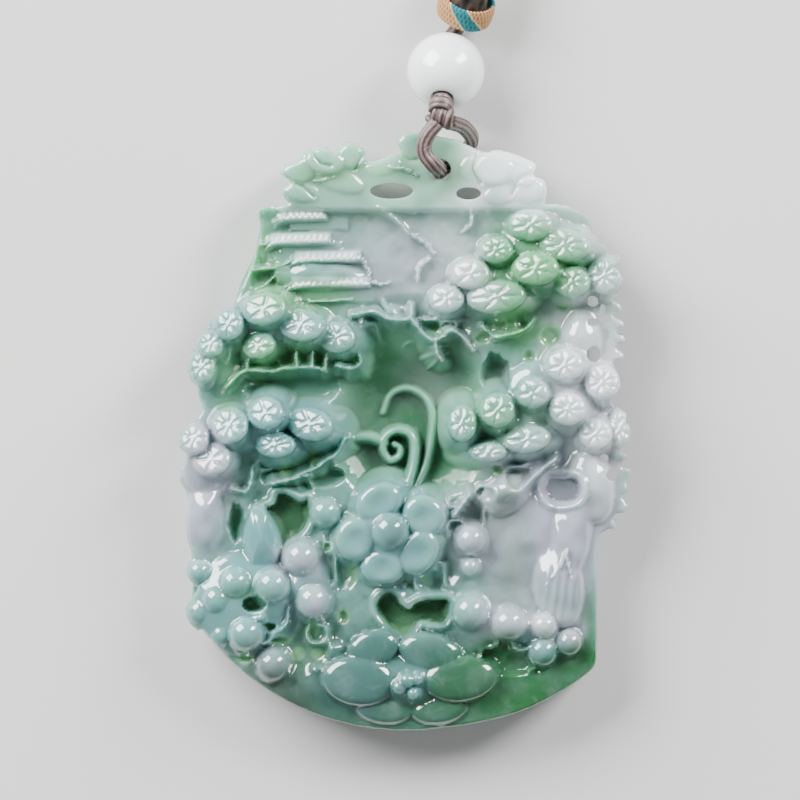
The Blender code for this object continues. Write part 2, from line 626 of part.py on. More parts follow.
def make_hanging_loop(part, satin):
    """Down the front into the crown's hole, along behind the crown, and up to the knot again."""
    radius = THIN_CORD_DIAMETER / 2.0
    x, y = CORD_HOLE
    lower = knot_centres()[1] / UNIT
    over = CROWN_FRONT + (radius + CLEARANCE) / UNIT
    under = CROWN_BACK - (radius + CLEARANCE) / UNIT
    route = [
        (lower.x - 0.8, lower.y - 1.25, lower.z + 1.2),
        (x - 1.75, y + 3.0, over + 0.3),
        (x - 1.95, y + 2.0, over + 0.25),
        (x - 1.3, y + 1.1, over + 0.2),
        (x - 0.35, y + 0.3, over),
        (x, y, over - 0.9),
        (x, y, (over + under) / 2.0),
        (x, y, under + 1.0),
        (x + 0.4, y + 0.3, under),
        (x + 1.6, y + 1.3, under),
        (x + 2.8, y + 2.5, under),
        (x + 3.4, y + 3.7, under + 1.2),
        (x + 2.7, y + 4.5, under + 3.9),
        (lower.x + 1.4, lower.y - 0.75, lower.z - 0.6),
    ]
    line = smooth_line([place(*point) for point in route], 2)
    loop = tube(part, "hanging_loop", line, radius)
    loop.data.materials.append(satin)
    return loop


def make_bead_cord(part, satin):
    """Straight through the bead, then over to the foot of the stem."""
    centre, radius = bead_centre(), BEAD_DIAMETER / 2.0
    half = THIN_CORD_DIAMETER / 2.0
    foot = stem_foot() - COLLAR_AXIS * CLEARANCE * 2
    mouth = centre + BORE_AXIS * (radius + 0.0002)
    low = mouth.lerp(foot, 0.4)
    low.z = half + CLEARANCE
    route = [centre - BORE_AXIS * (radius - 0.0005), centre, mouth, low, foot]
    line = smooth_line(route, 4)
    cord = tube(part, "bead_cord", line, half)
    cord.data.materials.append(satin)
    return cord


def stem_foot():
    return collar_centre() - COLLAR_AXIS * (0.3 * COLLAR_LENGTH)


def stem_line():
    """Out of the ring along its axis, then down to lie on the surface."""
    radius = STEM_DIAMETER / 2.0
    foot, ahead = stem_foot(), Vector((COLLAR_AXIS.x, COLLAR_AXIS.y, 0.0)).normalized()
    out = foot + COLLAR_AXIS * (0.6 * STEM_DIAMETER)
    high = out + ahead * 0.0018 + Vector((0.0, 0.0, 0.0005))
    down = high + ahead * 0.0032
    down.z = radius + 0.45 * (high.z - radius)
    rest = down + ahead * 0.003
    rest.z = radius
    end = rest + ahead * 0.002
    return smooth_line([foot, out, high, down, rest, end], 4), ahead


def make_stem(part, braid):
    line, _ = stem_line()
    swell = [0.86] + [1.0] * (len(line) - 1)
    stem = tube(part, "cord_stem", line, STEM_DIAMETER / 2.0, 3, swell)
    stem.data.materials.append(braid)
    return stem


def coil_facts():
    """Centre of the coil, the middle line's outer radius and the solid's inner and outer radius."""
    outer_line = COIL_INNER_LINE + COIL_LAYER_TURNS * TURN_PITCH
    half = NECK_CORD_DIAMETER / 2.0
    line, _ = stem_line()
    centre = Vector((0.0014, line[-1].y + COIL_BEYOND + outer_line + half, 0.0))
    return centre, outer_line, COIL_INNER_LINE - half, outer_line + half


def make_neck_cord(part, braid):
    """Two strands between the stem and the coil, and the ring that holds all the turns."""
    half = NECK_CORD_DIAMETER / 2.0
    line, ahead = stem_line()
    aside = Vector((ahead.y, -ahead.x, 0.0))
    centre, _, inner, outer = coil_facts()
    start = line[-1] + ahead * CLEARANCE
    start.z = half
    layers = (COIL_LAYERS - 1) * TURN_PITCH + NECK_CORD_DIAMETER
    beside = outer + CLEARANCE + half
    for name, hand, angle, height, between in (
        ("neck_cord_out", 1.0, OUT_MEETS, half, OUT_ROUTE),
        ("neck_cord_back", -1.0, BACK_MEETS, layers - half, BACK_ROUTE),
    ):
        turn = math.radians(angle)
        meets = centre + beside * Vector((math.cos(turn), math.sin(turn), 0.0))
        meets.z = height
        first = start + aside * (hand * (half + CLEARANCE))
        route = [first, *(first + Vector(step) for step in between), meets]
        strand = tube(part, name, smooth_line(route, 3), half)
        strand.data.materials.append(braid)
    rim = 0.0004
    profile = [
        (outer, 0.0), (outer, layers - rim), (outer - rim, layers), (inner + rim, layers),
        (inner, layers - rim), (inner, 0.0),
    ]
    coil = turned(part, "neck_cord_coil", profile, 28)
    coil.data.materials.append(braid)
    coil.location = centre
    return coil


def main():
    clear_scene()
    part = new_collection("jade pendant")
    jade = new_material("jade", (0.50, 0.72, 0.60), 0.12, 0.6)
    milky = new_material("milky_jade", (0.83, 0.88, 0.85), 0.12, 0.6)
    satin = new_material("satin_cord", (0.30, 0.22, 0.20), 0.45)
    tan = new_material("tan_braid", (0.62, 0.42, 0.22), 0.7)
    dark = new_material("dark_braid", (0.09, 0.07, 0.06), 0.65)
    make_pendant(part, jade)
    make_bead(part, milky)
    make_hanging_loop(part, satin)
    make_knot(part, satin)
    make_bead_cord(part, satin)
    make_collar(part, tan)
    make_stem(part, dark)
    make_neck_cord(part, dark)
    for made in part.objects:
        if made.type == "MESH":
            made.data.shade_smooth()
            made.data.set_sharp_from_angle(angle=math.radians(35.0))


main()
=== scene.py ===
"""Carved jade pendant with its bead and braided cord: the fine surfaces, finishes, light and camera."""

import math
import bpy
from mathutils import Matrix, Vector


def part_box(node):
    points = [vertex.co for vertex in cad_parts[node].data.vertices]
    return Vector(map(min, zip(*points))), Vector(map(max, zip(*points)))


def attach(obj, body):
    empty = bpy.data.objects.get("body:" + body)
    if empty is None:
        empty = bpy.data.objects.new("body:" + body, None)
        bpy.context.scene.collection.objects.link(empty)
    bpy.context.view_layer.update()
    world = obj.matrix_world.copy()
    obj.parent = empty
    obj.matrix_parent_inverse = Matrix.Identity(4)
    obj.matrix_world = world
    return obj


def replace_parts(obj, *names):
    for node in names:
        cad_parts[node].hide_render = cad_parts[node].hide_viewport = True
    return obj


bl_info = {
    "name": "Carved Jade Pendant",
    "version": (1, 0, 0),
    "blender": (4, 5, 0),
    "location": "3D View > Sidebar > Pendant",
    "description": "Builds a carved jade pendant, its bead, knots and braided cord from formulas",
    "category": "Add Mesh",
}

import bpy
import numpy as np
from mathutils import Vector

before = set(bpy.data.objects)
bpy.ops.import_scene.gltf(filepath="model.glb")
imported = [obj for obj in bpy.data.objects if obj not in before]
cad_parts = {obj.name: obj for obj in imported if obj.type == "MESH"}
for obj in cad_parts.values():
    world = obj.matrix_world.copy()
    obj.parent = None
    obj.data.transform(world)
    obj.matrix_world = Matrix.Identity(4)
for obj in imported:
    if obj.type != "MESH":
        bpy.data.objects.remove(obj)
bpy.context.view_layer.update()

BODY = "root"
LAYOUT_HEIGHT = 59.9
PLAQUE_LOW, PLAQUE_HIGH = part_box("jade_pendant")
UNIT = (PLAQUE_HIGH.y - PLAQUE_LOW.y) / LAYOUT_HEIGHT

# Heights over the back, in layout units
FIELD = 5.6
CROWN_BACK, CROWN_LEVEL = 2.2, 6.7
FRONT_BACK = 3.0  # where the front layer's underside lies past the plate
SHOULDER = 17.2  # where the plate ends and the crown begins, on y
OUTSIDE = 5.0  # the block's top outside the carving, which is cut away
BLOCK_FLOOR, DRILL_FLOOR, ABOVE = -1.0, -2.0, 30.0
FRONT_RIM, CROWN_RIM = 0.35, 0.55  # radii of the rounded edges

PADS = [
    (-14.1, 7.2, 2.3, 1.7, 9.9, 8), (-17.6, 5.7, 1.5, 1.7, 9.4, 0), (-19.4, 3.7, 1.4, 1.4, 8.8, 0),
    (-20.3, 1.4, 1.4, 1.8, 8.2, 0), (-14.6, 3.5, 1.7, 1.3, 9.0, 10), (-10.4, 5.6, 2.3, 1.7, 9.6, -8),
    (-6.9, 4.4, 2.0, 1.6, 8.9, -10),
    (-17.5, -4.4, 1.9, 1.9, 9.4, 0), (-13.9, -3.2, 1.9, 1.7, 9.9, 0), (-9.5, -4.3, 2.4, 1.7, 9.5, -12),
    (-21.1, -5.7, 1.6, 1.7, 8.6, 0), (-13.0, -6.4, 2.1, 1.3, 9.0, 0), (-19.3, -7.8, 2.0, 1.7, 8.8, 15),
    (12.5, 15.6, 2.3, 1.6, 9.0, 0), (9.1, 13.1, 1.7, 1.4, 8.8, 0), (15.9, 13.6, 2.6, 1.7, 9.6, -10),
    (6.5, 10.7, 2.0, 1.6, 8.7, 0), (13.0, 11.2, 2.4, 1.7, 10.2, 0), (16.6, 9.9, 1.9, 1.6, 9.4, 0),
    (19.9, 10.5, 1.8, 1.9, 8.9, 0), (4.1, 8.2, 1.8, 1.5, 8.3, 0), (9.1, 8.4, 3.0, 1.7, 9.3, 6),
    (15.9, 1.6, 2.0, 1.7, 9.6, 0), (19.7, -0.1, 1.8, 1.8, 9.2, 0), (12.7, -1.2, 1.7, 1.6, 9.7, 0),
    (9.2, -2.9, 1.8, 1.8, 9.4, 0), (5.7, -4.2, 1.5, 1.9, 8.6, 0), (16.2, -2.8, 1.9, 1.7, 10.1, 0),
    (12.2, -5.8, 2.4, 1.4, 9.2, 8), (8.3, -7.1, 2.0, 1.0, 8.2, 0), (19.0, -5.3, 1.7, 1.6, 9.4, 0),
    (21.5, -4.6, 1.15, 2.2, 8.3, 0),
]
BERRIES = [
    (-8.0, -13.2, 1.6, 7.6), (-10.4, -17.7, 1.8, 9.2), (-9.2, -22.0, 1.8, 9.2), (-17.0, -20.2, 1.6, 8.8),
    (-13.3, -20.5, 1.8, 9.6), (-18.8, -21.9, 1.6, 8.2), (-20.6, -19.1, 1.25, 7.2),
    (-20.5, -23.1, 1.4, 7.2), (-15.9, -25.3, 1.8, 9.2), (-18.3, -25.4, 1.3, 7.4), (-13.2, -28.4, 1.8, 8.4),
    (6.6, -15.9, 1.5, 8.6), (6.5, -18.6, 0.9, 7.4), (6.5, -23.1, 1.8, 8.8), (10.4, -24.3, 1.8, 9.0),
    (13.9, -24.5, 1.3, 8.4), (13.8, -27.1, 1.6, 8.0), (16.4, -26.2, 1.4, 7.8),
]
BLOSSOM = [
    (-2.6, -12.1, 2.5, 1.9, 8.9, 28), (1.9, -13.5, 2.3, 2.1, 8.7, -40), (1.4, -17.1, 2.5, 1.9, 8.9, 60),
    (-2.2, -18.6, 2.3, 1.8, 8.6, 0), (-4.9, -15.8, 2.3, 2.1, 8.8, 85),
]
BLOSSOM_CENTRE = (-1.5, -15.0, 1.9, 10.2)
FOOT_FLOWER = [
    (-2.2, -32.8, 3.0, 1.6, 6.9, -8), (3.5, -32.9, 3.0, 1.5, 6.9, 8), (-3.2, -26.7, 2.7, 1.9, 7.5, 15),
    (2.6, -27.1, 3.3, 1.9, 7.7, -12), (-4.6, -30.0, 3.8, 2.6, 7.9, -6), (5.5, -29.8, 3.8, 2.4, 7.9, 6),
]
FOOT_FLOWER_CENTRE = [(0.2, -29.9, 0.75, 8.9), (1.2, -29.8, 0.6, 8.6), (-0.6, -30.6, 0.7, 8.7), (0.8, -31.2, 0.6, 8.5)]
LEAF = (-14.4, -15.4, 3.4, 2.0, 8.0, 98)
ROCKS = [
    (-18.4, 2.2, 2.6, 3.8, 6.8, 0), (-20.2, -8.0, 2.4, 3.4, 7.0, 0), (-20.0, -13.6, 2.0, 3.8, 6.8, 0),
    (-18.8, -23.0, 3.0, 3.4, 6.4, 0), (-9.0, 10.6, 5.6, 1.6, 6.6, -4), (12.4, -15.6, 3.2, 6.0, 6.4, -28),
    (16.6, -15.0, 2.2, 5.6, 7.1, -8), (15.4, -20.6, 2.6, 4.2, 7.4, 10), (10.0, -11.4, 2.6, 2.0, 7.4, 30),
    (18.6, -10.6, 2.4, 3.8, 7.4, 8), (-15.6, -22.4, 5.6, 5.4, 7.2, -30), (10.6, -25.0, 5.6, 2.6, 6.8, -10),
    (-1.5, -15.2, 3.8, 4.0, 8.0, 0), (-9.8, -19.8, 2.4, 3.4, 7.2, 0), (9.6, 9.4, 6.5, 2.0, 7.0, 10),
    (13.8, 13.2, 4.6, 3.4, 7.4, 0), (-13.5, 5.2, 6.0, 2.2, 7.0, 12), (-15.5, -4.8, 5.4, 2.2, 7.2, 8),
    (14.5, -1.2, 5.0, 3.4, 7.3, 0), (17.6, 3.6, 2.2, 3.6, 6.9, 0), (9.8, -4.8, 4.4, 2.2, 7.2, 0),
    (0.2, -30.0, 6.6, 3.4, 6.8, 0),
]
BRANCHES = [
    (0.42, 6.9, [(-17.9, -0.6), (-16.1, 1.0), (-13.3, 1.0), (-12.0, 1.3), (-9.2, 1.4), (-7.9, 1.0)]),
    (0.36, 6.7, [(-6.8, 1.6), (-5.3, 1.3), (-4.4, 1.9), (-4.6, 2.8)]),
    (0.38, 6.8, [(-6.0, -5.7), (-6.8, -7.2), (-7.9, -7.9), (-8.9, -8.6), (-11.2, -9.6)]),
    (0.34, 6.7, [(-17.4, -10.7), (-16.0, -11.0), (-15.5, -10.3), (-15.2, -8.7)]),
    (0.34, 6.7, [(-13.4, -10.2), (-11.9, -9.9), (-10.6, -9.6), (-9.4, -9.3)]),
    (0.38, 6.9, [(-5.2, 6.7), (-3.1, 7.0), (-1.7, 6.3), (0.4, 6.3), (0.6, 7.6)]),
    (0.42, 6.8, [(0.6, 6.3), (1.9, 4.7), (3.0, 4.2), (4.5, 5.1), (5.7, 4.5), (6.8, 3.1)]),
    (0.38, 6.9, [(7.7, 5.5), (8.7, 4.5), (10.4, 4.7), (12.0, 5.2), (12.9, 6.2)]),
    (0.40, 7.2, [(15.0, -7.8), (13.3, -9.1), (11.4, -10.9), (9.4, -11.6)]),
    (0.34, 7.0, [(6.4, -11.3), (5.6, -12.4), (4.8, -13.5)]),
    (0.30, 6.8, [(-15.8, 1.2), (-15.7, 2.6)]), (0.30, 6.8, [(-10.8, 1.4), (-10.9, 2.9)]),
    (0.30, 6.8, [(-9.3, 1.4), (-9.2, 3.0)]), (0.30, 6.8, [(-8.0, 1.2), (-7.8, 2.8)]),
    (0.30, 6.8, [(3.0, 4.2), (3.2, 2.8), (3.7, 2.1)]),
    (0.26, 6.3, [(-2.4, 17.2), (-0.7, 16.0), (0.4, 14.7)]), (0.26, 6.3, [(0.8, 14.6), (2.2, 13.7), (2.9, 12.7)]),
    (0.26, 6.2, [(2.4, 12.3), (1.4, 11.4), (1.2, 10.0)]), (0.26, 6.3, [(6.6, 17.2), (6.6, 15.8), (5.6, 14.9)]),
    (0.35, 7.2, [(16.2, -17.0), (15.2, -19.0), (13.7, -20.8)]),
    (0.30, 7.1, [(16.1, -17.6), (16.8, -20.0)]),
]
TENDRILS = [
    (0.36, 4.9, 4.2, [(1.0, -10.9), (2.2, -8.1), (2.8, -4.8), (2.7, -2.9), (1.8, -1.4), (0.1, -0.7), (-1.5, -1.4),
                      (-2.2, -3.1)]),
    (0.42, 5.5, 4.6, [(0.25, -10.6), (0.9, -8.1), (1.0, -6.3), (0.4, -5.2), (-0.9, -4.9), (-2.0, -5.6),
                      (-2.2, -6.9), (-1.5, -7.9), (-0.6, -7.5), (-0.5, -6.7), (-1.1, -6.3)]),
    (0.48, 4.8, 5.0, [(-2.2, -6.1), (-3.8, -5.6), (-5.7, -5.9), (-6.4, -7.2)]),
]
ROOFS = [(-12.6, -8.2, 16.2, 17.2), (-13.4, -7.8, 13.8, 14.8), (-11.0, -4.9, 12.0, 13.0), (-11.3, -4.0, 9.5, 10.4)]
EAVES = [
    [(-13.2, 15.9), (-12.4, 16.4), (-11.4, 17.3)], [(-14.6, 13.7), (-13.6, 13.9), (-12.6, 14.8)],
    [(-15.2, 11.2), (-12.6, 11.5), (-11.2, 12.2), (-9.4, 13.0)], [(-4.9, 13.0), (-4.2, 12.0), (-3.4, 10.4)],
    [(-12.8, 9.2), (-11.6, 9.6), (-10.8, 10.3)], [(-3.9, 10.2), (-2.6, 9.7), (-1.5, 9.9)],
    [(-9.6, 8.0), (-7.0, 8.1), (-5.0, 8.3)], [(-15.0, 9.2), (-14.0, 9.7), (-13.0, 10.6)],
]
PANELS = [(-11.4, -5.8, 15.2, 16.6), (-12.4, -6.4, 12.9, 13.9), (-10.6, -3.2, 8.0, 9.5)]
PANEL_TOP = 5.8
ROOF_TOP, TILE_PITCH = 6.55, 0.62
# Sunk ground: x, y, half width, half height, floor, steepness of the wall
DISHES = [
    (0.5, -3.6, 8.8, 10.0, 3.3, 6), (-16.9, -14.1, 0.95, 2.2, 3.9, 4), (9.0, 0.6, 1.6, 2.4, 3.7, 6),
    (-6.0, 1.4, 3.0, 2.4, 4.5, 6), (4.8, -0.4, 3.0, 3.6, 4.7, 6), (-10.6, -0.5, 6.4, 1.9, 4.5, 6),
    (-10.4, -9.0, 5.4, 2.2, 4.6, 6), (-14.2, 10.4, 1.6, 3.6, 4.9, 4),
]
# Cavities with a crisp scalloped rim: floor and outline
CAVITIES = [
    (4.2, [(-15.0, -12.9), (-13.3, -12.2), (-13.0, -11.3), (-12.2, -11.05), (-11.3, -11.4), (-10.45, -11.9),
           (-9.7, -11.65), (-9.4, -13.4), (-9.8, -14.6), (-10.45, -15.4), (-11.5, -16.1), (-12.2, -17.0),
           (-12.9, -15.8), (-13.9, -14.4), (-14.9, -13.7)]),
    (4.2, [(-3.0, -22.2), (-2.4, -21.3), (-1.5, -21.0), (-0.6, -21.6), (-0.3, -22.2), (0.4, -22.6), (0.8, -22.2),
           (2.2, -21.7), (4.6, -21.9), (4.0, -24.3), (1.7, -24.2), (1.1, -24.8), (0.2, -25.6), (-0.9, -25.3),
           (-2.1, -24.2), (-2.9, -23.1)]),
    (5.5, [(13.9, -9.8), (14.5, -9.35), (15.4, -9.3), (16.3, -9.3), (17.2, -9.5), (17.7, -10.3), (17.7, -11.4),
           (17.1, -12.1), (15.9, -12.4), (14.7, -12.3), (13.9, -11.5), (13.7, -10.6)]),
]
POCKETS = [
    (-10.1, 2.5, 0.75, 0.95), (-8.6, 2.3, 0.6, 0.9), (-5.3, 2.5, 0.6, 0.8), (-12.0, 2.3, 0.9, 0.8),
    (-14.2, 2.2, 0.7, 0.7), (-9.2, -7.7, 0.6, 1.1), (-10.8, -7.7, 0.6, 0.8), (-7.9, -6.5, 0.5, 0.8),
    (-12.0, -9.0, 0.7, 0.6), (12.5, 7.6, 0.6, 0.75), (9.5, 5.6, 0.85, 0.95), (11.6, 5.9, 0.7, 0.8),
    (7.8, 4.3, 1.0, 0.75), (14.5, 4.5, 1.35, 1.3), (12.4, 2.5, 0.75, 0.8), (16.0, 7.6, 0.9, 0.7),
    (3.3, 4.9, 0.8, 0.55), (9.2, -8.9, 0.8, 0.6), (7.4, -8.3, 0.6, 0.4), (3.5, -16.1, 0.5, 0.6),
    (3.1, -17.9, 0.45, 0.5), (0.0, -19.8, 0.5, 0.5), (1.9, -19.4, 0.45, 0.75), (-5.2, -19.1, 0.6, 1.05),
    (-7.8, -16.6, 0.45, 0.6), (-15.1, -22.3, 1.3, 0.85), (-13.6, -24.6, 0.8, 0.5), (-12.4, -26.0, 1.2, 0.5),
    (-10.7, -27.3, 0.7, 0.7), (-8.6, -27.3, 0.85, 0.6), (-16.0, -27.8, 0.9, 0.5), (-9.2, -24.8, 0.7, 0.9),
    (-6.2, -23.6, 0.7, 0.9), (-14.6, 0.0, 0.8, 0.5),
]
POCKET_FLOOR = 5.3
# Waves of the field: height, cell and seed; the mountain's ridge line on it
GROUND_WAVES = ((0.22, 3.1, 3), (0.10, 1.3, 4), (0.05, 0.6, 5))
MOUNTAIN = [(-2.6, 17.4), (-0.6, 15.9), (0.3, 14.4), (1.0, 12.4)]
# Rippled patches: x, y, half width, half height
FALL, WATER = (15.5, -21.2, 2.6, 3.6), (-13.5, 11.5, 2.0, 0.9)
RELIEF = 0.8  # share of each figure's height over the field that is carved
FOOT_SLOPE = 2.2  # how steeply the sides of a figure run out
PAD_LEAN = 0.44  # how steeply a pad's face leans to the upper left
# Openwork of thin crests round sunk pockets: x, y, half width, half height, loop size, seed
WEBS = [
    (-12.6, 2.2, 6.0, 2.0, 1.7, 71), (0.6, 5.8, 6.2, 3.0, 1.9, 72), (-10.4, -8.6, 5.4, 2.6, 1.8, 74),
    (-11.0, -25.8, 6.0, 3.8, 1.9, 75), (2.2, -19.0, 3.4, 2.4, 1.5, 76), (9.4, -9.6, 4.4, 2.6, 1.8, 77),
    (11.0, -27.6, 4.4, 2.0, 1.6, 79), (-6.4, -17.6, 2.4, 3.6, 1.6, 81), (5.6, -13.6, 3.0, 2.2, 1.6, 83),
]
PIERCED_EDGE = [
    (18.8, 8.0, 0.6, 0.55), (19.8, 7.1, 0.3, 0.6), (18.8, 5.9, 0.55, 0.4), (20.1, 4.6, 0.3, 0.5),
    (18.9, 2.7, 0.7, 0.8), (19.9, -7.7, 0.45, 0.45), (20.7, -9.4, 0.6, 0.6), (18.8, 12.6, 0.22, 0.22),
]
PIERCED_CROWN = [(-1.35, 19.0, 2.15, 0.8), (6.35, 18.75, 1.25, 0.62)]
CORD_HOLE = (3.5, 21.1, 1.1, 1.1)
CROWN_LOBES = [
    (-10.6, 20.9, 1.9, 1.2, 8.0, 20), (-8.0, 21.9, 1.9, 1.3, 8.4, -10), (-5.3, 22.5, 1.3, 1.3, 8.0, 0),
    (-10.4, 18.9, 1.9, 1.0, 7.8, -10), (-6.6, 20.0, 2.6, 1.1, 7.8, -18), (-2.2, 21.4, 1.9, 0.9, 7.7, 12),
    (8.9, 21.2, 1.9, 1.6, 8.2, 0), (11.6, 20.8, 1.7, 1.2, 8.0, -30), (12.6, 19.0, 1.5, 1.2, 7.8, 0),
    (9.6, 18.6, 1.7, 1.0, 7.7, 10), (6.6, 21.2, 1.1, 1.2, 7.7, 0), (-0.2, 23.2, 1.2, 1.2, 7.2, 0),
]
CROWN_CRESTS = [
    [(-9.1, 20.0), (-7.6, 20.2), (-6.0, 20.9)], [(-1.6, 21.4), (0.1, 21.2), (1.3, 20.4)], [(11.2, 19.7), (12.7, 19.6)],
    [(-11.8, 19.8), (-11.0, 20.1)], [(10.4, 22.2), (11.6, 21.6)], [(7.6, 22.6), (8.8, 22.8)],
]
CROWN_CUTS = [
    [(-9.2, 22.9), (-8.4, 21.8), (-7.4, 21.5)], [(-12.0, 20.0), (-10.4, 19.6), (-9.0, 18.4)],
    [(-4.3, 22.6), (-5.0, 21.2)], [(12.8, 20.7), (11.4, 20.2), (10.6, 18.6)], [(7.2, 22.9), (6.8, 21.2), (7.6, 19.8)],
    [(-0.6, 23.0), (0.4, 22.2), (1.4, 22.2)],
]

# Outlines in layout units, against the clock from the foot
FOOT_ARC = (0.0, -9.6, 25.4, 217.0, 270.0)
FOOT_RIGHT = [(2.1, -34.95), (4.3, -34.7), (6.3, -34.45), (8.2, -34.05), (9.9, -33.65), (11.5, -33.1), (13.0, -32.5),
              (14.2, -31.9), (16.0, -30.9), (17.4, -29.95), (18.4, -29.2), (18.95, -28.6), (19.2, -27.8)]
PLATE_RIGHT = [(19.2, -26.0), (19.2, -16.1), (18.7, -6.0), (18.4, 8.0), (18.2, 13.0), (17.2, 16.2), (15.4, 17.6)]
PLATE_LEFT = [
    (0.0, 17.6), (-14.2, 17.4), (-15.0, 12.8), (-16.4, 10.0), (-17.4, 7.0), (-18.4, 2.0), (-18.8, -2.6),
    (-20.6, -5.5), (-21.6, -9.0), (-21.5, -13.0), (-21.5, -16.4), (-21.2, -19.6), (-21.4, -22.6),
]
FRONT_RIGHT = [
    (19.22, -26.0), (19.22, -22.0), (19.25, -16.2), (20.2, -14.9), (21.0, -14.8), (21.2, -14.2), (20.8, -13.8),
    (21.2, -13.3), (21.9, -13.2), (22.3, -12.5), (22.0, -11.9), (21.7, -11.5), (22.4, -10.9), (22.2, -10.0),
    (22.6, -9.4), (22.5, -8.8), (21.8, -8.6), (21.8, -8.1), (22.3, -7.7), (22.0, -7.2), (21.5, -6.9),
    (22.5, -5.8), (22.6, -4.8),
    (22.1, -4.0), (22.2, -3.3), (21.3, -2.6), (20.6, -2.1), (21.2, -1.5), (21.6, -0.4), (21.4, 0.7),
    (20.9, 1.9), (21.7, 2.2), (21.9, 2.7), (21.2, 3.3), (21.3, 3.6), (22.0, 3.9), (21.9, 4.5), (21.3, 4.8),
    (21.3, 5.2), (21.9, 5.5), (21.8, 6.0), (21.0, 6.4), (21.0, 6.8), (21.7, 7.1), (21.5, 7.7), (20.7, 8.2),
    (21.2, 8.8), (21.8, 10.0), (21.4, 11.0), (20.8, 11.5), (21.6, 12.0), (21.4, 12.6), (20.5, 12.7), (20.3, 13.1),
    (20.0, 13.7), (19.4, 13.8), (19.3, 14.4), (18.7, 14.9), (18.7, 15.8), (18.1, 16.6), (16.6, 17.4), (15.4, 17.7),
]
FRONT_LEFT = [
    (8.0, 17.65), (0.0, 17.65), (-8.0, 17.5), (-14.2, 17.4), (-14.5, 15.5), (-15.0, 12.8), (-15.9, 10.4),
    (-16.5, 9.2), (-17.3, 7.5), (-18.7, 6.9), (-20.1, 5.2), (-20.9, 3.9), (-21.6, 2.1), (-21.7, 0.7),
    (-21.3, -0.2), (-20.8, -0.6), (-20.7, -1.4), (-20.3, -2.5), (-20.6, -3.4), (-21.6, -4.3), (-22.5, -5.4),
    (-22.6, -6.6), (-21.9, -7.5), (-22.3, -8.7), (-22.6, -9.8), (-22.1, -10.8), (-21.7, -12.0), (-22.0, -14.0),
    (-21.7, -16.2), (-21.3, -17.5), (-21.8, -18.4), (-21.8, -19.5), (-21.2, -20.4), (-20.8, -20.9),
    (-21.3, -21.6), (-22.0, -22.9), (-21.6, -24.2), (-20.8, -25.0),
]
CROWN_OUTLINE = [
    (13.6, 17.0), (14.0, 17.9), (14.2, 19.2), (13.9, 20.1), (12.9, 20.6), (13.2, 21.6), (12.3, 22.2),
    (10.8, 22.8), (9.3, 23.15), (8.3, 23.0), (7.4, 23.1), (5.3, 24.1), (3.4, 24.5), (1.7, 24.9), (0.0, 24.8),
    (-0.8, 24.0), (-0.4, 22.8), (-1.3, 22.8), (-2.2, 22.3), (-3.7, 22.0), (-4.1, 23.2), (-5.4, 23.9),
    (-6.5, 23.6), (-7.1, 22.8), (-8.0, 23.5), (-10.2, 22.9), (-10.7, 22.1), (-12.1, 21.6), (-12.5, 20.8),
    (-11.5, 19.9), (-12.4, 19.0), (-11.7, 17.8), (-11.4, 17.0),
]

# Colour clouds in the stone: x, y, half width, half height, colour, strength
LAVENDER = (0.33, 0.345, 0.41)
PEARL = (0.50, 0.53, 0.56)
MINT = (0.125, 0.28, 0.245)
APPLE = (0.085, 0.29, 0.10)
AQUA = (0.115, 0.275, 0.29)
LAGOON = (0.075, 0.21, 0.205)
POOL = (0.042, 0.118, 0.11)
FOREST = (0.018, 0.085, 0.038)
FERN = (0.10, 0.31, 0.145)
SNOW = (0.80, 0.85, 0.87)
SAGE = (0.19, 0.25, 0.23)
MOSS = (0.065, 0.27, 0.11)
MILK = (0.40, 0.52, 0.50)
TILE = (0.55, 0.66, 0.62)
VEIL = (0.36, 0.46, 0.43, 1.0)
SPRING = (0.25, 0.47, 0.34)
HOLLOW = (0.15, 0.36, 0.19)
CAVITY = (0.048, 0.135, 0.065)
OLIVE = (0.038, 0.070, 0.050)
ASH = (0.20, 0.225, 0.235)
BOTTLE = (0.034, 0.125, 0.055)
SMOKE = (0.095, 0.155, 0.12)
RIM_GREEN = (0.009, 0.085, 0.022)
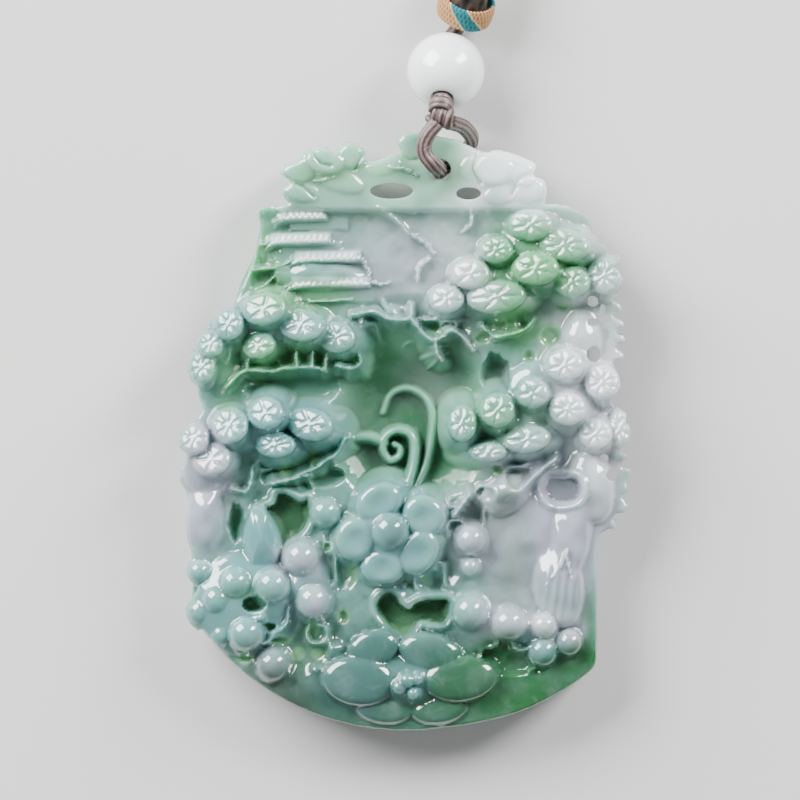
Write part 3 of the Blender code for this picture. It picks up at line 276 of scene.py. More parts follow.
CLOUDS = [
    (-20.8, -12.0, 3.6, 5.6, LAVENDER, 1.0), (-19.8, -6.6, 2.4, 3.2, LAVENDER, 0.9),
    (-1.0, 12.4, 5.4, 5.0, LAVENDER, 0.8),
    (4.6, 12.0, 3.6, 5.0, PEARL, 0.6), (15.6, -15.0, 5.6, 7.5, LAVENDER, 1.0), (11.0, -12.5, 5.5, 5.0, LAVENDER, 0.9),
    (20.6, 2.0, 2.6, 9.0, PEARL, 1.0), (20.4, -7.5, 2.6, 7.0, PEARL, 1.0), (17.6, 5.4, 3.0, 4.4, PEARL, 0.9),
    (17.6, -1.4, 3.8, 4.6, PEARL, 1.0), (-15.2, -21.6, 7.0, 5.0, AQUA, 0.9), (-15.6, 5.4, 6.0, 3.2, AQUA, 0.8),
    (-12.0, -4.4, 5.4, 3.0, AQUA, 0.9), (-9.8, -4.2, 3.2, 2.4, LAGOON, 0.9),
    (-14.4, -15.6, 2.6, 3.4, AQUA, 0.9), (-1.4, -15.2, 4.6, 5.0, AQUA, 0.9),
    (13.2, -24.8, 3.6, 2.2, PEARL, 0.9), (9.6, -23.6, 3.2, 2.4, LAVENDER, 0.9), (-1.3, -14.9, 1.7, 1.7, POOL, 0.7),
    (6.6, -16.8, 2.4, 3.2, LAVENDER, 0.8), (-10.4, -17.7, 2.0, 1.9, LAVENDER, 0.9),
    (-9.2, -22.0, 2.0, 1.9, LAVENDER, 1.0),
    (-13.2, -28.4, 2.0, 1.9, LAVENDER, 0.6), (7.4, 11.0, 2.4, 2.4, PEARL, 0.8), (16.6, 15.2, 3.0, 2.4, PEARL, 0.8),
    (12.8, 12.0, 4.8, 3.8, MOSS, 1.0), (13.4, 11.4, 3.2, 2.0, APPLE, 0.6), (10.8, 6.0, 3.6, 2.4, APPLE, 0.9),
    (-16.8, 0.8, 2.6, 3.0, APPLE, 0.6),
    (-14.2, 11.0, 2.2, 5.4, APPLE, 0.7), (-10.0, 8.8, 5.0, 1.5, APPLE, 0.7), (9.4, -3.8, 3.8, 2.0, APPLE, 0.5),
    (-12.4, 2.2, 5.0, 2.0, FERN, 1.0), (-5.0, 20.8, 9.5, 4.6, SPRING, 1.0), (4.2, 22.0, 4.6, 2.6, SPRING, 0.9),
    (11.4, 20.5, 5.2, 3.6, SNOW, 1.0), (-7.0, 21.0, 3.2, 0.9, APPLE, 0.5), (4.2, 20.6, 2.2, 2.0, APPLE, 0.35),
    (-15.6, -21.4, 3.2, 1.6, APPLE, 0.35), (-9.5, -32.0, 10.5, 4.8, OLIVE, 1.0),
    (11.5, -32.0, 11.0, 5.0, RIM_GREEN, 1.0),
    (17.4, -27.8, 3.6, 2.4, RIM_GREEN, 0.95), (19.0, -24.0, 1.2, 3.4, RIM_GREEN, 0.6),
    (9.0, -27.4, 3.6, 1.8, RIM_GREEN, 0.9),
    (-5.0, -30.0, 4.6, 3.2, POOL, 1.0), (-3.0, -26.6, 3.4, 2.2, POOL, 0.9), (2.6, -26.9, 3.4, 2.2, POOL, 0.9),
    (4.6, -30.2, 5.2, 3.6, FOREST, 0.9), (0.4, -30.4, 1.9, 1.6, AQUA, 0.7),
    (16.4, -25.0, 1.3, 1.5, LAVENDER, 0.85), (13.8, -27.0, 1.6, 1.4, AQUA, 0.8), (4.8, 3.2, 2.0, 1.8, SAGE, 0.8),
    (10.0, -12.0, 2.4, 3.6, SAGE, 0.8), (10.8, -18.6, 2.2, 3.2, SAGE, 0.85),
]

# Tones of the cords and the ring
# The darker satin tone is painted shade for the dips between the strands.
SATIN_LIGHT, SATIN_GROOVE_SHADE = (0.19, 0.135, 0.125), (0.016, 0.010, 0.009)
# The darker braid tone is painted shade for the grooves between the ribs.
BRAID_LIGHT, BRAID_GROOVE_SHADE = (0.052, 0.035, 0.027), (0.010, 0.007, 0.006)
# The darker tan is painted shade for the grooves between the ring's ribs.
TAN, TAN_GROOVE_SHADE, CREAM = (0.46, 0.25, 0.095), (0.15, 0.075, 0.03), (0.66, 0.50, 0.26)
TURQUOISE = (0.002, 0.17, 0.20)

# Cords, bead and ring, metres
THIN_CORD, CLEARANCE = 0.0016, 0.0003
BEAD_DIAMETER, BEAD_BORE = 0.0078, 0.0022
COLLAR_DIAMETER, COLLAR_LENGTH, STEM_DIAMETER = 0.0058, 0.0024, 0.0039
NECK_CORD = 0.003
BORE_EASE, BORE_END = 0.00012, 0.0002
THREAD_DEPTH, THREAD_PITCH = 0.015, 0.00028
BRAID_PITCH, STEM_BRAID_PITCH = 0.0024, 0.0022
STEM_STEP, LOOP_STEP, BEAD_CORD_STEP, NECK_CORD_STEP = 0.00016, 0.00012, 0.0002, 0.0007
STEM_AHEAD, STEM_RISE, STEM_SWELL = (0.0018, 0.0032, 0.003, 0.002), 0.0005, 0.0009
KNOT_SHIFT = 0.00025  # how far the upper wrap lies up in the bead's mouth
COIL_LAYER_TURNS, COIL_INNER_LINE, TURN_PITCH = 2.9, 0.01065, 0.00305
COIL_CLIMB_TURNS, COIL_UPPER_TURNS, COIL_SWING_TURNS = 0.2, 2.7, 0.2
COIL_BEYOND = 0.0139
OUT_MEETS, BACK_MEETS = -40.0, 250.0
OUT_ROUTE = [(0.0006, 0.0019, 0.0), (0.0020, 0.0064, 0.0), (0.0038, 0.0120, 0.0)]
BACK_ROUTE = [(0.0003, 0.00095, 0.0), (0.00057, 0.00339, 0.0), (-0.0001, 0.0057, 0.0), (-0.00158, 0.0076, 0.0001),
              (-0.00356, 0.00876, 0.0004), (-0.0090, 0.0107, 0.0017)]
BEAD_PLACE = (4.1, 31.1)

# Stage, metres: height of the carved face, half the floor, lamps with place, size and power
FACE_HEIGHT, FLOOR_HALF, FLOOR_DROP = 0.006, 1.5, 0.00002
VIEW_CENTRE = (-0.5, -1.9)  # in layout units
LAMPS = (
    ("window_left", (-0.36, 0.34, 0.29), (0.40, 0.40), 12.5),
    ("window_right", (0.42, 0.35, 0.30), (0.18, 0.36), 7.5),
    ("front_fill", (0.1, -0.75, 0.62), (0.9, 0.5), 3.6),
)


def unit(v):
    v = np.asarray(v, float)
    return v / np.linalg.norm(v)


def over(colour, tone, weight):
    """A colour with a tone laid over it, by a weight from 0 to 1 at each point."""
    weight = weight[..., None]
    return np.asarray(colour) * (1 - weight) + np.asarray(tone) * weight


def clamp(value):
    return np.clip(value, 0, 1)


def swell(value, width):
    """A bell curve: 1 where the value is 0, fading over the width."""
    return np.exp(-((value / width) ** 2))


BORE_AXIS = unit((0.10, 0.77, -0.63))
COLLAR_SIDE = unit((0.298, 0.954, 0.0))
COLLAR_AXIS = unit((0.25, 0.78, 0.57))


# Meshes from whole arrays


def mesh_piece(name, points, faces, smooth_angle=None):
    """An object at the origin from an array of points and one array of equal-sided faces."""
    mesh = bpy.data.meshes.new(name)
    points, faces = np.ascontiguousarray(points, float), np.ascontiguousarray(faces, np.int32)
    count, sides = faces.shape
    mesh.vertices.add(len(points))
    mesh.vertices.foreach_set("co", points.ravel())
    mesh.loops.add(count * sides)
    mesh.loops.foreach_set("vertex_index", faces.ravel())
    mesh.polygons.add(count)
    mesh.polygons.foreach_set("loop_start", np.arange(0, count * sides, sides, dtype=np.int32))
    mesh.update(calc_edges=True)
    mesh.validate()
    piece = bpy.data.objects.new(name, mesh)
    bpy.context.scene.collection.objects.link(piece)
    mesh.shade_smooth()
    if smooth_angle:
        mesh.set_sharp_from_angle(angle=math.radians(smooth_angle))
    return piece


def strip_faces(rows, columns, closed):
    """Quads between neighbouring rows of a grid; the columns close round when asked."""
    across = np.arange(columns if closed else columns - 1)
    row = np.arange(rows - 1)[:, None]
    a = row * columns + across
    b = row * columns + (across + 1) % columns
    return np.stack([a, b, b + columns, a + columns], -1).reshape(-1, 4)


def as_triangles(quads):
    return np.concatenate([quads[:, [0, 1, 2]], quads[:, [0, 2, 3]]])


def fan_faces(ring, hub, flip):
    """Triangles from a ring of point numbers to one hub point."""
    after = np.roll(ring, -1)
    hubs = np.full_like(ring, hub)
    return np.stack([after, ring, hubs] if flip else [ring, after, hubs], -1)


def loft(name, rings):
    """A closed body through rings of points, as an array (rows, n, 3), capped by fans at both ends."""
    rows, columns, _ = rings.shape
    points = rings.reshape(-1, 3)
    hubs = np.stack([rings[0].mean(0), rings[-1].mean(0)])
    side = as_triangles(strip_faces(rows, columns, True))
    low = fan_faces(np.arange(columns), len(points), True)
    high = fan_faces(np.arange(columns) + (rows - 1) * columns, len(points) + 1, False)
    return mesh_piece(name, np.vstack([points, hubs]), np.vstack([side, low, high]))


def closed_faces(rows, columns):
    """Quads of a grid that closes round both ways."""
    a = np.arange(rows * columns).reshape(rows, columns)
    b, d = np.roll(a, -1, 1), np.roll(a, -1, 0)
    return np.stack([a, b, np.roll(b, -1, 0), d], -1).reshape(-1, 4)


def run_along(line):
    """The way covered along a line at each of its points."""
    return np.concatenate([[0], np.cumsum(np.linalg.norm(np.diff(line, axis=0), axis=1))])


def combine(target, tool, operation):
    """The target's mesh after one Boolean with the tool, which is removed."""
    step = target.modifiers.new(operation, "BOOLEAN")
    step.operation, step.solver, step.object = operation, "MANIFOLD", tool
    graph = bpy.context.evaluated_depsgraph_get()
    graph.update()
    made = bpy.data.meshes.new_from_object(target.evaluated_get(graph))
    target.modifiers.clear()
    target.data = made
    bpy.data.objects.remove(tool)
    return target


def smooth_line(points, steps, closed=False):
    """Catmull and Rom's smooth curve through the points, steps to each stretch, as one array."""
    p = np.asarray(points, float)
    if closed:
        a, b, c, d = np.roll(p, 1, 0), p, np.roll(p, -1, 0), np.roll(p, -2, 0)
    else:
        padded = np.vstack([2 * p[0] - p[1], p, 2 * p[-1] - p[-2]])
        a, b, c, d = padded[:-3], padded[1:-2], padded[2:-1], padded[3:]
    t = (np.arange(steps) / steps)[None, :, None]
    a, b, c, d = (q[:, None, :] for q in (a, b, c, d))
    line = 0.5 * (2 * b + (c - a) * t + (2 * a - 5 * b + 4 * c - d) * t**2 + (3 * b - a - 3 * c + d) * t**3)
    line = line.reshape(-1, p.shape[1])
    return line if closed else np.vstack([line, p[-1:]])


def lattice_noise(x, y, size, seed):
    """Smooth random heights from -1 to 1: a seeded lattice of the given cell size, blended between its knots."""
    knots = np.random.default_rng(seed).random((64, 64)) * 2 - 1
    u, v = x / size + 31.7, y / size + 17.3
    i, j = np.floor(u).astype(int), np.floor(v).astype(int)
    fu, fv = u - i, v - j
    fu, fv = fu * fu * (3 - 2 * fu), fv * fv * (3 - 2 * fv)
    i, j, k, m = i % 64, j % 64, (i + 1) % 64, (j + 1) % 64
    low = knots[i, j] * (1 - fu) + knots[k, j] * fu
    high = knots[i, m] * (1 - fu) + knots[k, m] * fu
    return low * (1 - fv) + high * fv


# The carving's heights over its back, as functions of x and y in layout units


def blend_up(a, b, soft):
    """The higher of two heights, with a rounded crease of the given softness."""
    return 0.5 * (a + b + np.sqrt((a - b) ** 2 + soft * soft))


def blend_down(a, b, soft):
    return -blend_up(-a, -b, soft)


def oval(x, y, shape):
    """Share of the way from an oval's middle to its rim, with its turned local coordinates."""
    cx, cy, half_x, half_y = shape[:4]
    turn = math.radians(shape[5]) if len(shape) > 5 else 0.0
    dx, dy = x - cx, y - cy
    u = (dx * math.cos(turn) + dy * math.sin(turn)) / half_x
    v = (-dx * math.sin(turn) + dy * math.cos(turn)) / half_y
    return np.sqrt(u * u + v * v), u, v


def carved(top):
    return FIELD + RELIEF * (top - FIELD)


def dome(share, top, drop, power, size, wall=FOOT_SLOPE):
    """Falls from top by drop at the rim along a superellipse of the given power, then steeply like a wall."""
    inside = clamp(share)
    body = top - drop * (1 - (1 - inside**power) ** (1 / power))
    return body - np.maximum(share - 1.0, 0.0) * size * wall


def pad_height(x, y, shape, seed):
    """A pine pad: a flat-topped, leaning dome with a star of fine needle grooves."""
    share, u, v = oval(x, y, shape)
    half = min(shape[2], shape[3])
    spokes = 5 + seed % 4
    angle = np.arctan2(v, u) + seed * 0.7
    rise = dome(share, carved(shape[4]), 1.3, 3.6, half)
    wedge = np.abs(np.sin(spokes * angle / 2))
    away = share * half * wedge * 2 / spokes
    reach = clamp((share - 0.04) / 0.2) * clamp((0.88 - share) / 0.15)
    star = 0.17 * swell(away, 0.095) * reach
    facet = 0.05 * wedge * share * clamp((0.95 - share) * 4)
    lean = math.radians(138 + 14 * math.sin(seed * 2.4))
    along = (x - shape[0]) * math.cos(lean) + (y - shape[1]) * math.sin(lean)
    slope = -(PAD_LEAN - 0.14 * clamp(shape[0] / 6)) * along
    return rise - star + facet + slope * clamp(2.2 - share)


def ball_height(x, y, shape):
    cx, cy, radius, top = shape
    share = np.hypot(x - cx, y - cy) / radius
    return dome(share, carved(top), radius, 2.0, radius)


def petal_height(x, y, shape, hollow, grooves):
    """A petal: a soft dome hollowed in the middle by the given depth, with shallow grooves of the given depth."""
    share, _, v = oval(x, y, shape)
    half = min(shape[2], shape[3])
    rise = dome(share, carved(shape[4]), 1.5, 2.8, half)
    lines = grooves * np.cos(v * 2.0 * math.pi) * clamp(1 - share)
    return rise - hollow * swell(share, 0.55) + lines


def leaf_height(x, y, shape):
    """A pointed bud: a lens whose half width shrinks to both tips, with a raised middle vein."""
    _, u, v = oval(x, y, shape)
    width = np.clip(np.clip(1 + u, 0, 2) ** 0.5 * np.clip(1 - u, 0, 2) ** 0.8 * 0.95, 0.02, 1)
    across = np.abs(v) / width
    rise = dome(np.maximum(across, np.abs(u)), carved(shape[4]), 2.0, 1.8, shape[3])
    return rise + 0.12 * swell(v, 0.12) * clamp(1 - np.abs(u))


def line_distance(x, y, points):
    """Distance to a bent line and the share of the way along it."""
    p = np.asarray(points, float)
    runs = run_along(p)
    near = np.full(x.shape, 1e9)
    share = np.zeros(x.shape)
    for a, b, start in zip(p, p[1:], runs):
        d = b - a
        t = clamp(((x - a[0]) * d[0] + (y - a[1]) * d[1]) / (d @ d))
        away = np.hypot(x - a[0] - t * d[0], y - a[1] - t * d[1])
        closer = away < near
        near = np.where(closer, away, near)
        share = np.where(closer, (start + t * math.hypot(*d)) / runs[-1], share)
    return near, share


def sharp_crest(x, y, half_width, top, points):
    """A thin crest along a smooth line, with hollow flanks that run out into the ground."""
    away, share = line_distance(x, y, smooth_line(points, 5))
    lift = 0.18 * np.sin(share * 23.0) - 0.5 * share**4
    return top + lift - 1.5 * (1 - np.exp(-np.maximum(away - 0.25 * half_width, 0) / (0.8 * half_width))) - 1.3 * away


def crest_height(x, y, half_width, root, tip, points):
    """A rounded ridge along a smooth line, sinking and thinning from root to tip."""
    away, share = line_distance(x, y, smooth_line(points, 8))
    width = half_width * (1 - 0.5 * share)
    top = root + (tip - root) * share
    return dome(away / width, top, width * 1.1, 2.0, width, 4.0)


def roof_height(x, y, shape):
    """A strip of tiles: it rises to its eave, turns up at both ends, and is fluted by its rows of tiles."""
    left, right, lower, upper = shape
    mid, half = (left + right) / 2, (right - left) / 2
    along = (x - mid) / half
    lift = -0.25 * np.clip(-along, 0, 1.4) ** 3 + 0.06 * along
    across = (y - lower - lift) / (upper - lower)
    inside = clamp(np.minimum(across, 1 - across) * 6) * clamp((1.12 - np.abs(along)) * 6)
    tiles = 0.30 * np.abs(np.cos(math.pi * (x - 0.35 * y) / TILE_PITCH)) * inside
    slope = ROOF_TOP - 0.6 * clamp(across)
    outside = np.maximum(np.maximum(-across, across - 1) * (upper - lower), (np.abs(along) - 1.12) * half)
    return slope + tiles - 3.0 * np.maximum(outside, 0.0)


def bowl_height(x, y, shape, seed):
    """Ground that sinks to a floor inside a slightly wavy oval and climbs steeply at its rim."""
    share, u, v = oval(x, y, shape[:4])
    wavy = share * (1 + 0.06 * np.sin(5 * np.arctan2(v, u) + seed) + 0.04 * np.sin(9 * np.arctan2(v, u)))
    return shape[4] + 2.8 * np.clip(wavy, 0, 3) ** shape[5]


def patch(x, y, shape):
    """From 1 in the middle of a patch to 0 at its edges."""
    cx, cy, half_x, half_y = shape
    return clamp(1 - ((x - cx) / half_x) ** 2) * clamp(1 - ((y - cy) / half_y) ** 2)


def ground_height(x, y):
    """The field under the figures: waves, a mountain ridge, rocks, sunk dishes and cavities, openwork, water."""
    ground = FIELD
    for height, cell, seed in GROUND_WAVES:
        ground = ground + height * lattice_noise(x, y, cell, seed)
    ground = ground + 0.9 * swell(17.7 - y, 1.1)
    ridge, share = line_distance(x, y, smooth_line(MOUNTAIN, 5))
    ground = ground + 0.5 * swell(ridge, 0.35) * (1 - share)
    for number, shape in enumerate(ROCKS):
        away, _, _ = oval(x, y, shape)
        bumps = 0.28 * lattice_noise(x, y, 1.7, 20 + number)
        ground = blend_up(ground, dome(away, shape[4], 2.0, 2.0, min(shape[2], shape[3]), 2.0) + bumps, 0.5)
    for number, shape in enumerate(DISHES):
        ground = blend_down(ground, bowl_height(x, y, shape, number), 0.35)
    for floor, outline in CAVITIES:
        inside = signed_inside(x, y, smooth_line(outline, 4, True))
        rim = 0.45 * swell(inside + 0.25, 0.3)
        ground = blend_down(ground + rim, floor + 7.0 * np.clip(0.45 - inside, 0, 2), 0.12)
    flutes = 0.5 + 0.5 * np.cos((x - 0.12 * y) * 2 * math.pi / 0.85)
    ground = ground - 0.18 * patch(x, y, FALL) * flutes
    for x0, y0, half_x, half_y, size, seed in WEBS:
        share, _, _ = oval(x, y, (x0, y0, half_x, half_y))
        window = clamp((1.0 - share) * 3.0)
        ridges = swell(lattice_noise(x, y, size, seed), 0.2)
        ground = ground + window * (1.1 * ridges - 0.6) * clamp((ground - 3.6) / 1.6)
    return ground + 0.12 * patch(x, y, WATER) * np.cos(y * 2 * math.pi / 0.45)


def body_height(x, y):
    """The front layer: the ground with its branches, pockets, tendrils, roofs, flowers, berries and pads."""
    height = ground_height(x, y)
    for half_width, top, points in BRANCHES:
        height = blend_up(height, sharp_crest(x, y, half_width, top + 0.5, points), 0.05)
    for shape in POCKETS:
        share, _, _ = oval(x, y, shape)
        height = blend_down(height, POCKET_FLOOR + 2.6 * np.clip(share, 0, 3) ** 5, 0.15)
    for half_width, root, tip, points in TENDRILS:
        height = blend_up(height, crest_height(x, y, half_width, root, tip, points), 0.08)
    for left, right, lower, upper in PANELS:
        away = np.hypot(np.maximum(np.abs(x - (left + right) / 2) - (right - left) / 2, 0),
                        np.maximum(np.abs(y - (lower + upper) / 2) - (upper - lower) / 2, 0))
        height = blend_up(height, PANEL_TOP - 2.5 * away, 0.1)
    for shape in ROOFS:
        height = blend_up(height, roof_height(x, y, shape), 0.06)
    for points in EAVES:
        height = blend_up(height, sharp_crest(x, y, 0.2, 6.6, points), 0.05)
    height = blend_up(height, leaf_height(x, y, LEAF), 0.08)
    for shape in FOOT_FLOWER:
        height = blend_up(height, petal_height(x, y, shape, 0.12, 0.03), 0.05)
    for shape in BLOSSOM:
        height = blend_up(height, petal_height(x, y, shape, 0.55, 0.05), 0.06)
    for shape in BERRIES + FOOT_FLOWER_CENTRE + [BLOSSOM_CENTRE]:
        height = blend_up(height, ball_height(x, y, shape), 0.05)
    for number, shape in enumerate(PADS):
        height = blend_up(height, pad_height(x, y, shape, number), 0.05)
    return height


def crown_height(x, y):
    """The crown: flat overlapping lobes with thin crests and cuts between them."""
    height = CROWN_LEVEL + 0.15 * lattice_noise(x, y, 1.6, 8)
    for shape in CROWN_LOBES:
        share, _, _ = oval(x, y, shape)
        height = blend_up(height, dome(share, shape[4] - 0.7, 0.5, 3.0, min(shape[2], shape[3]), 0.8), 0.3)
    for points in CROWN_CRESTS:
        height = blend_up(height, sharp_crest(x, y, 0.22, CROWN_LEVEL + 0.8, points), 0.08)
    for points in CROWN_CUTS:
        away, _ = line_distance(x, y, smooth_line(points, 4))
        height = height - 0.4 * swell(away, 0.16)
    return height


def signed_inside(x, y, outline):
    """Distance in from a closed outline: positive inside it and negative outside."""
    near = np.full(x.shape, 1e9)
    inside = np.zeros(x.shape, bool)
    for (ax, ay), (bx, by) in zip(outline, np.roll(outline, -1, 0)):
        dx, dy = bx - ax, by - ay
        t = clamp(((x - ax) * dx + (y - ay) * dy) / (dx * dx + dy * dy + 1e-12))
        near = np.minimum(near, np.hypot(x - ax - t * dx, y - ay - t * dy))
        crosses = (ay > y) != (by > y)
        inside ^= crosses & (x < ax + (y - ay) * dx / (dy if abs(dy) > 1e-12 else 1e-12))
    return np.where(inside, near, -near)


def rounded_rim(inside, radius):
    """How far a face has sunk this near its edge, along a quarter circle."""
    d = np.clip(inside, 0, radius)
    return radius - np.sqrt(np.maximum(radius**2 - (radius - d) ** 2, 0))


def foot_points():
    x, y, radius, first, last = FOOT_ARC
    angle = np.radians(np.linspace(first, last, 40))
    arc = np.stack([x + radius * np.cos(angle), y + radius * np.sin(angle)], -1)
    return np.vstack([arc, smooth_line(FOOT_RIGHT, 3)])


def front_outline():
    right = smooth_line(FRONT_RIGHT, 4)
    left = smooth_line(FRONT_LEFT, 4)
    return np.vstack([foot_points(), right, left])


def plate_outline():
    return np.vstack([foot_points() * 0.999, PLATE_RIGHT, PLATE_LEFT])


def outline_body(name, outline, levels):
    """A prism over an outline, through levels of (inset, height), in layout units."""
    ahead, behind = np.roll(outline, -1, 0), np.roll(outline, 1, 0)
    along = ahead - behind
    inward = np.stack([-along[:, 1], along[:, 0]], -1) / np.linalg.norm(along, axis=1)[:, None]
    rings = []
    for inset, height in levels:
        flat = outline + inward * inset
        rings.append(np.column_stack([flat, np.full(len(flat), height)]) * UNIT)
    count = len(outline)
    caps = [list(range(count))[::-1], list(range((len(rings) - 1) * count, len(rings) * count))]
    mesh = bpy.data.meshes.new(name)
    mesh.from_pydata(np.vstack(rings).tolist(), [], strip_faces(len(rings), count, True).tolist() + caps)
    piece = bpy.data.objects.new(name, mesh)
    bpy.context.scene.collection.objects.link(piece)
    return piece


def relief_block(name, cell):
    """A block whose top is the carving's height on a square grid, with a flat bottom below the back."""
    xs, ys = np.arange(-23.6, 23.6, cell), np.arange(-36.2, 26.0, cell)
    y, x = np.meshgrid(ys, xs, indexing="ij")
    front, crown = front_outline(), smooth_line(CROWN_OUTLINE, 3, True)
    body_in, crown_in = signed_inside(x, y, front), signed_inside(x, y, crown)
    body = body_height(x, y) - rounded_rim(body_in, FRONT_RIM)
    top = crown_height(x, y) - rounded_rim(crown_in, CROWN_RIM)
    height = np.where(body_in > 0, body, np.where(crown_in > 0, top, OUTSIDE))
    both = (body_in > -0.3) & (crown_in > -0.3) & (y > 16.9)
    height = np.where(both, blend_up(np.where(body_in > 0, body, 0), np.where(crown_in > 0, top, 0), 0.2), height)
    rows, columns = x.shape
    points = np.stack([x, y, height], -1).reshape(-1, 3)
    top_faces = strip_faces(rows, columns, False)
    index = np.arange(rows * columns).reshape(rows, columns)
    rim = np.concatenate([index[0, :-1], index[:-1, -1], index[-1, :0:-1], index[:0:-1, 0]])
    low = points[rim].copy()
    low[:, 2] = BLOCK_FLOOR
    start = len(points)
    low_index = np.arange(len(rim)) + start
    after, low_after = np.roll(rim, -1), np.roll(low_index, -1)
    wall = np.stack([low_index, low_after, after, rim], -1)
    hub = np.array([[0.0, 0.0, BLOCK_FLOOR]])
    floor = fan_faces(low_index, start + len(rim), True)
    faces = np.vstack([as_triangles(top_faces), as_triangles(wall), floor])
    return mesh_piece(name, np.vstack([points, low, hub]) * UNIT, faces)


def opening_cutters(name):
    """Upright oval drills, all in one mesh of separate closed bodies."""
    sides, points, faces, start = 32, [], [], 0
    around = np.linspace(0, 2 * math.pi, sides, endpoint=False)
    openings = [(shape, FRONT_BACK - 0.8) for shape in PIERCED_EDGE]
    openings += [(shape, DRILL_FLOOR) for shape in PIERCED_CROWN + [CORD_HOLE]]
    for (x, y, half_x, half_y), low in openings:
        rim = np.stack([x + half_x * np.cos(around), y + half_y * np.sin(around)], -1)
        rings = [np.column_stack([rim, np.full(sides, height)]) for height in (low, ABOVE)]
        body = np.vstack(rings + [[[x, y, low]], [[x, y, ABOVE]]])
        side = as_triangles(strip_faces(2, sides, True))
        caps = [fan_faces(np.arange(sides), 2 * sides, True),
                fan_faces(np.arange(sides) + sides, 2 * sides + 1, False)]
        points.append(body)
        faces.append(np.vstack([side, *caps]) + start)
        start += len(body)
    return mesh_piece(name, np.vstack(points) * UNIT, np.vstack(faces))


def stone_tint_and_painted_shading(points):
    """Colour and share of polish at each point: clouds of colour by place; darker, duller ground where it is deep,
    partly the darker green of the back layer and partly painted shade in the recesses; slightly paler raised tops as
    painted light.
    """
    x, y, z = (points / UNIT).T
    colour = np.tile(np.array(MINT), (len(x), 1))
    wander_x = 1.1 * lattice_noise(x, y, 2.7, 51)
    wander_y = 1.1 * lattice_noise(x, y, 2.7, 52)
    for cx, cy, half_x, half_y, tone, strength in CLOUDS:
        share = ((x + wander_x - cx) / half_x) ** 2 + ((y + wander_y - cy) / half_y) ** 2
        colour = over(colour, tone, strength * np.exp(-0.8 * share**1.3))
    on_face = (z > 2.6) * (y < SHOULDER)
    # Painted shade: the lower the ground lies, the more it takes the deep colour, partly the darker green of the back
    # layer and partly shade painted into the recesses.
    deep = (clamp((6.0 - z) / 2.6) * on_face) ** 1.1 * 0.92
    under = over(BOTTLE, SMOKE, np.clip(0.4 + 0.9 * lattice_noise(x, y, 3.4, 61), 0, 0.85))
    shallow = clamp((z - 3.3) / 0.8) * clamp(0.85 + 0.4 * lattice_noise(x, y, 2.2, 62))
    under = over(under, FERN, shallow)
    pale = clamp((x - 7) / 5) * clamp((4.5 - y) / 4) * clamp((y + 24) / 4)
    colour = over(colour, over(under, ASH, pale), deep)
    # Painted light: the raised tops turn a little paler with height; the noise term is milky wisps in the stone.
    milk_and_top_light = clamp((z - 6.6) / 3.0) * 0.08 + 0.08 * clamp(lattice_noise(x, y, 1.6, 60))
    colour = over(colour, MILK, milk_and_top_light)
    hollow, cavity, tiled = np.zeros((3, len(x)))
    for shape in POCKETS:
        share, _, _ = oval(x, y, shape)
        hollow = np.maximum(hollow, clamp((1.12 - share) * 4) * clamp((6.2 - z) * 2))
    for _, outline in CAVITIES[:2]:
        inside = signed_inside(x, y, smooth_line(outline, 2, True))
        cavity = np.maximum(cavity, clamp(inside * 3 + 0.3) * clamp((6.0 - z) * 2))
    for left, right, lower, upper in ROOFS:
        across, along = np.minimum(y - lower, upper - y), np.minimum(x - left, right - x)
        tiled = np.maximum(tiled, clamp(np.minimum(across, along) * 5 + 0.6))
    colour = over(colour, CAVITY, 0.9 * cavity)
    lavender_side = clamp((x - 8) / 4) * clamp((3.0 - y) / 4)
    colour = over(colour, HOLLOW, 0.9 * hollow * (1 - 0.75 * lavender_side))
    colour = over(colour, TILE, 0.55 * tiled)
    shine = 1 - 0.85 * clamp((5.2 - z) / 0.9) * on_face
    return np.column_stack([clamp(colour), shine])


def paint(piece, colours):
    """Stores one colour and one share of polish for each vertex, which the material reads."""
    if colours.shape[1] == 3:
        colours = np.column_stack([colours, np.ones(len(colours))])
    layer = piece.data.color_attributes.new("tint", "FLOAT_COLOR", "POINT")
    layer.data.foreach_set("color", colours.ravel())


def vertex_points(piece):
    flat = np.empty(len(piece.data.vertices) * 3)
    piece.data.vertices.foreach_get("co", flat)
    return flat.reshape(-1, 3)


def carve_pendant(cell):
    """The grid of heights, kept only inside the plate, the front layer and the crown, then pierced."""
    plate = outline_body("plate", plate_outline(),
                         [(0.5, 0.0), (0.28, 0.08), (0.1, 0.25), (0.0, 0.5), (0.0, ABOVE)])
    front = outline_body("front", front_outline(),
                         [(0.04, FRONT_BACK), (0.0, FRONT_BACK + 0.08), (0.0, ABOVE + 1)])
    crown = outline_body("crown", smooth_line(CROWN_OUTLINE, 4, True),
                         [(0.1, CROWN_BACK), (0.03, CROWN_BACK + 0.08), (0.0, CROWN_BACK + 0.2), (0.0, ABOVE + 2)])
    block = relief_block("jade_pendant_carving", cell)
    combine(plate, front, "UNION")
    combine(plate, crown, "UNION")
    combine(block, plate, "INTERSECT")
    combine(block, opening_cutters("openings"), "DIFFERENCE")
    block.data.shade_smooth()
    block.data.set_sharp_from_angle(angle=math.radians(70))
    paint(block, stone_tint_and_painted_shading(vertex_points(block)))
    return block


# Bead, knots and cords


def frames_along(line):
    """Side and up at each point of a line, carried along without twist."""
    along = np.gradient(line, axis=0)
    along /= np.linalg.norm(along, axis=1)[:, None]
    side = np.empty_like(along)
    first = np.cross(along[0], (0.0, 0.0, 1.0))
    if np.linalg.norm(first) < 1e-3:
        first = np.cross(along[0], (1.0, 0.0, 0.0))
    side[0] = first / np.linalg.norm(first)
    for i in range(1, len(line)):
        carried = side[i - 1] - along[i] * (side[i - 1] @ along[i])
        side[i] = carried / np.linalg.norm(carried)
    return side, np.cross(side, along)


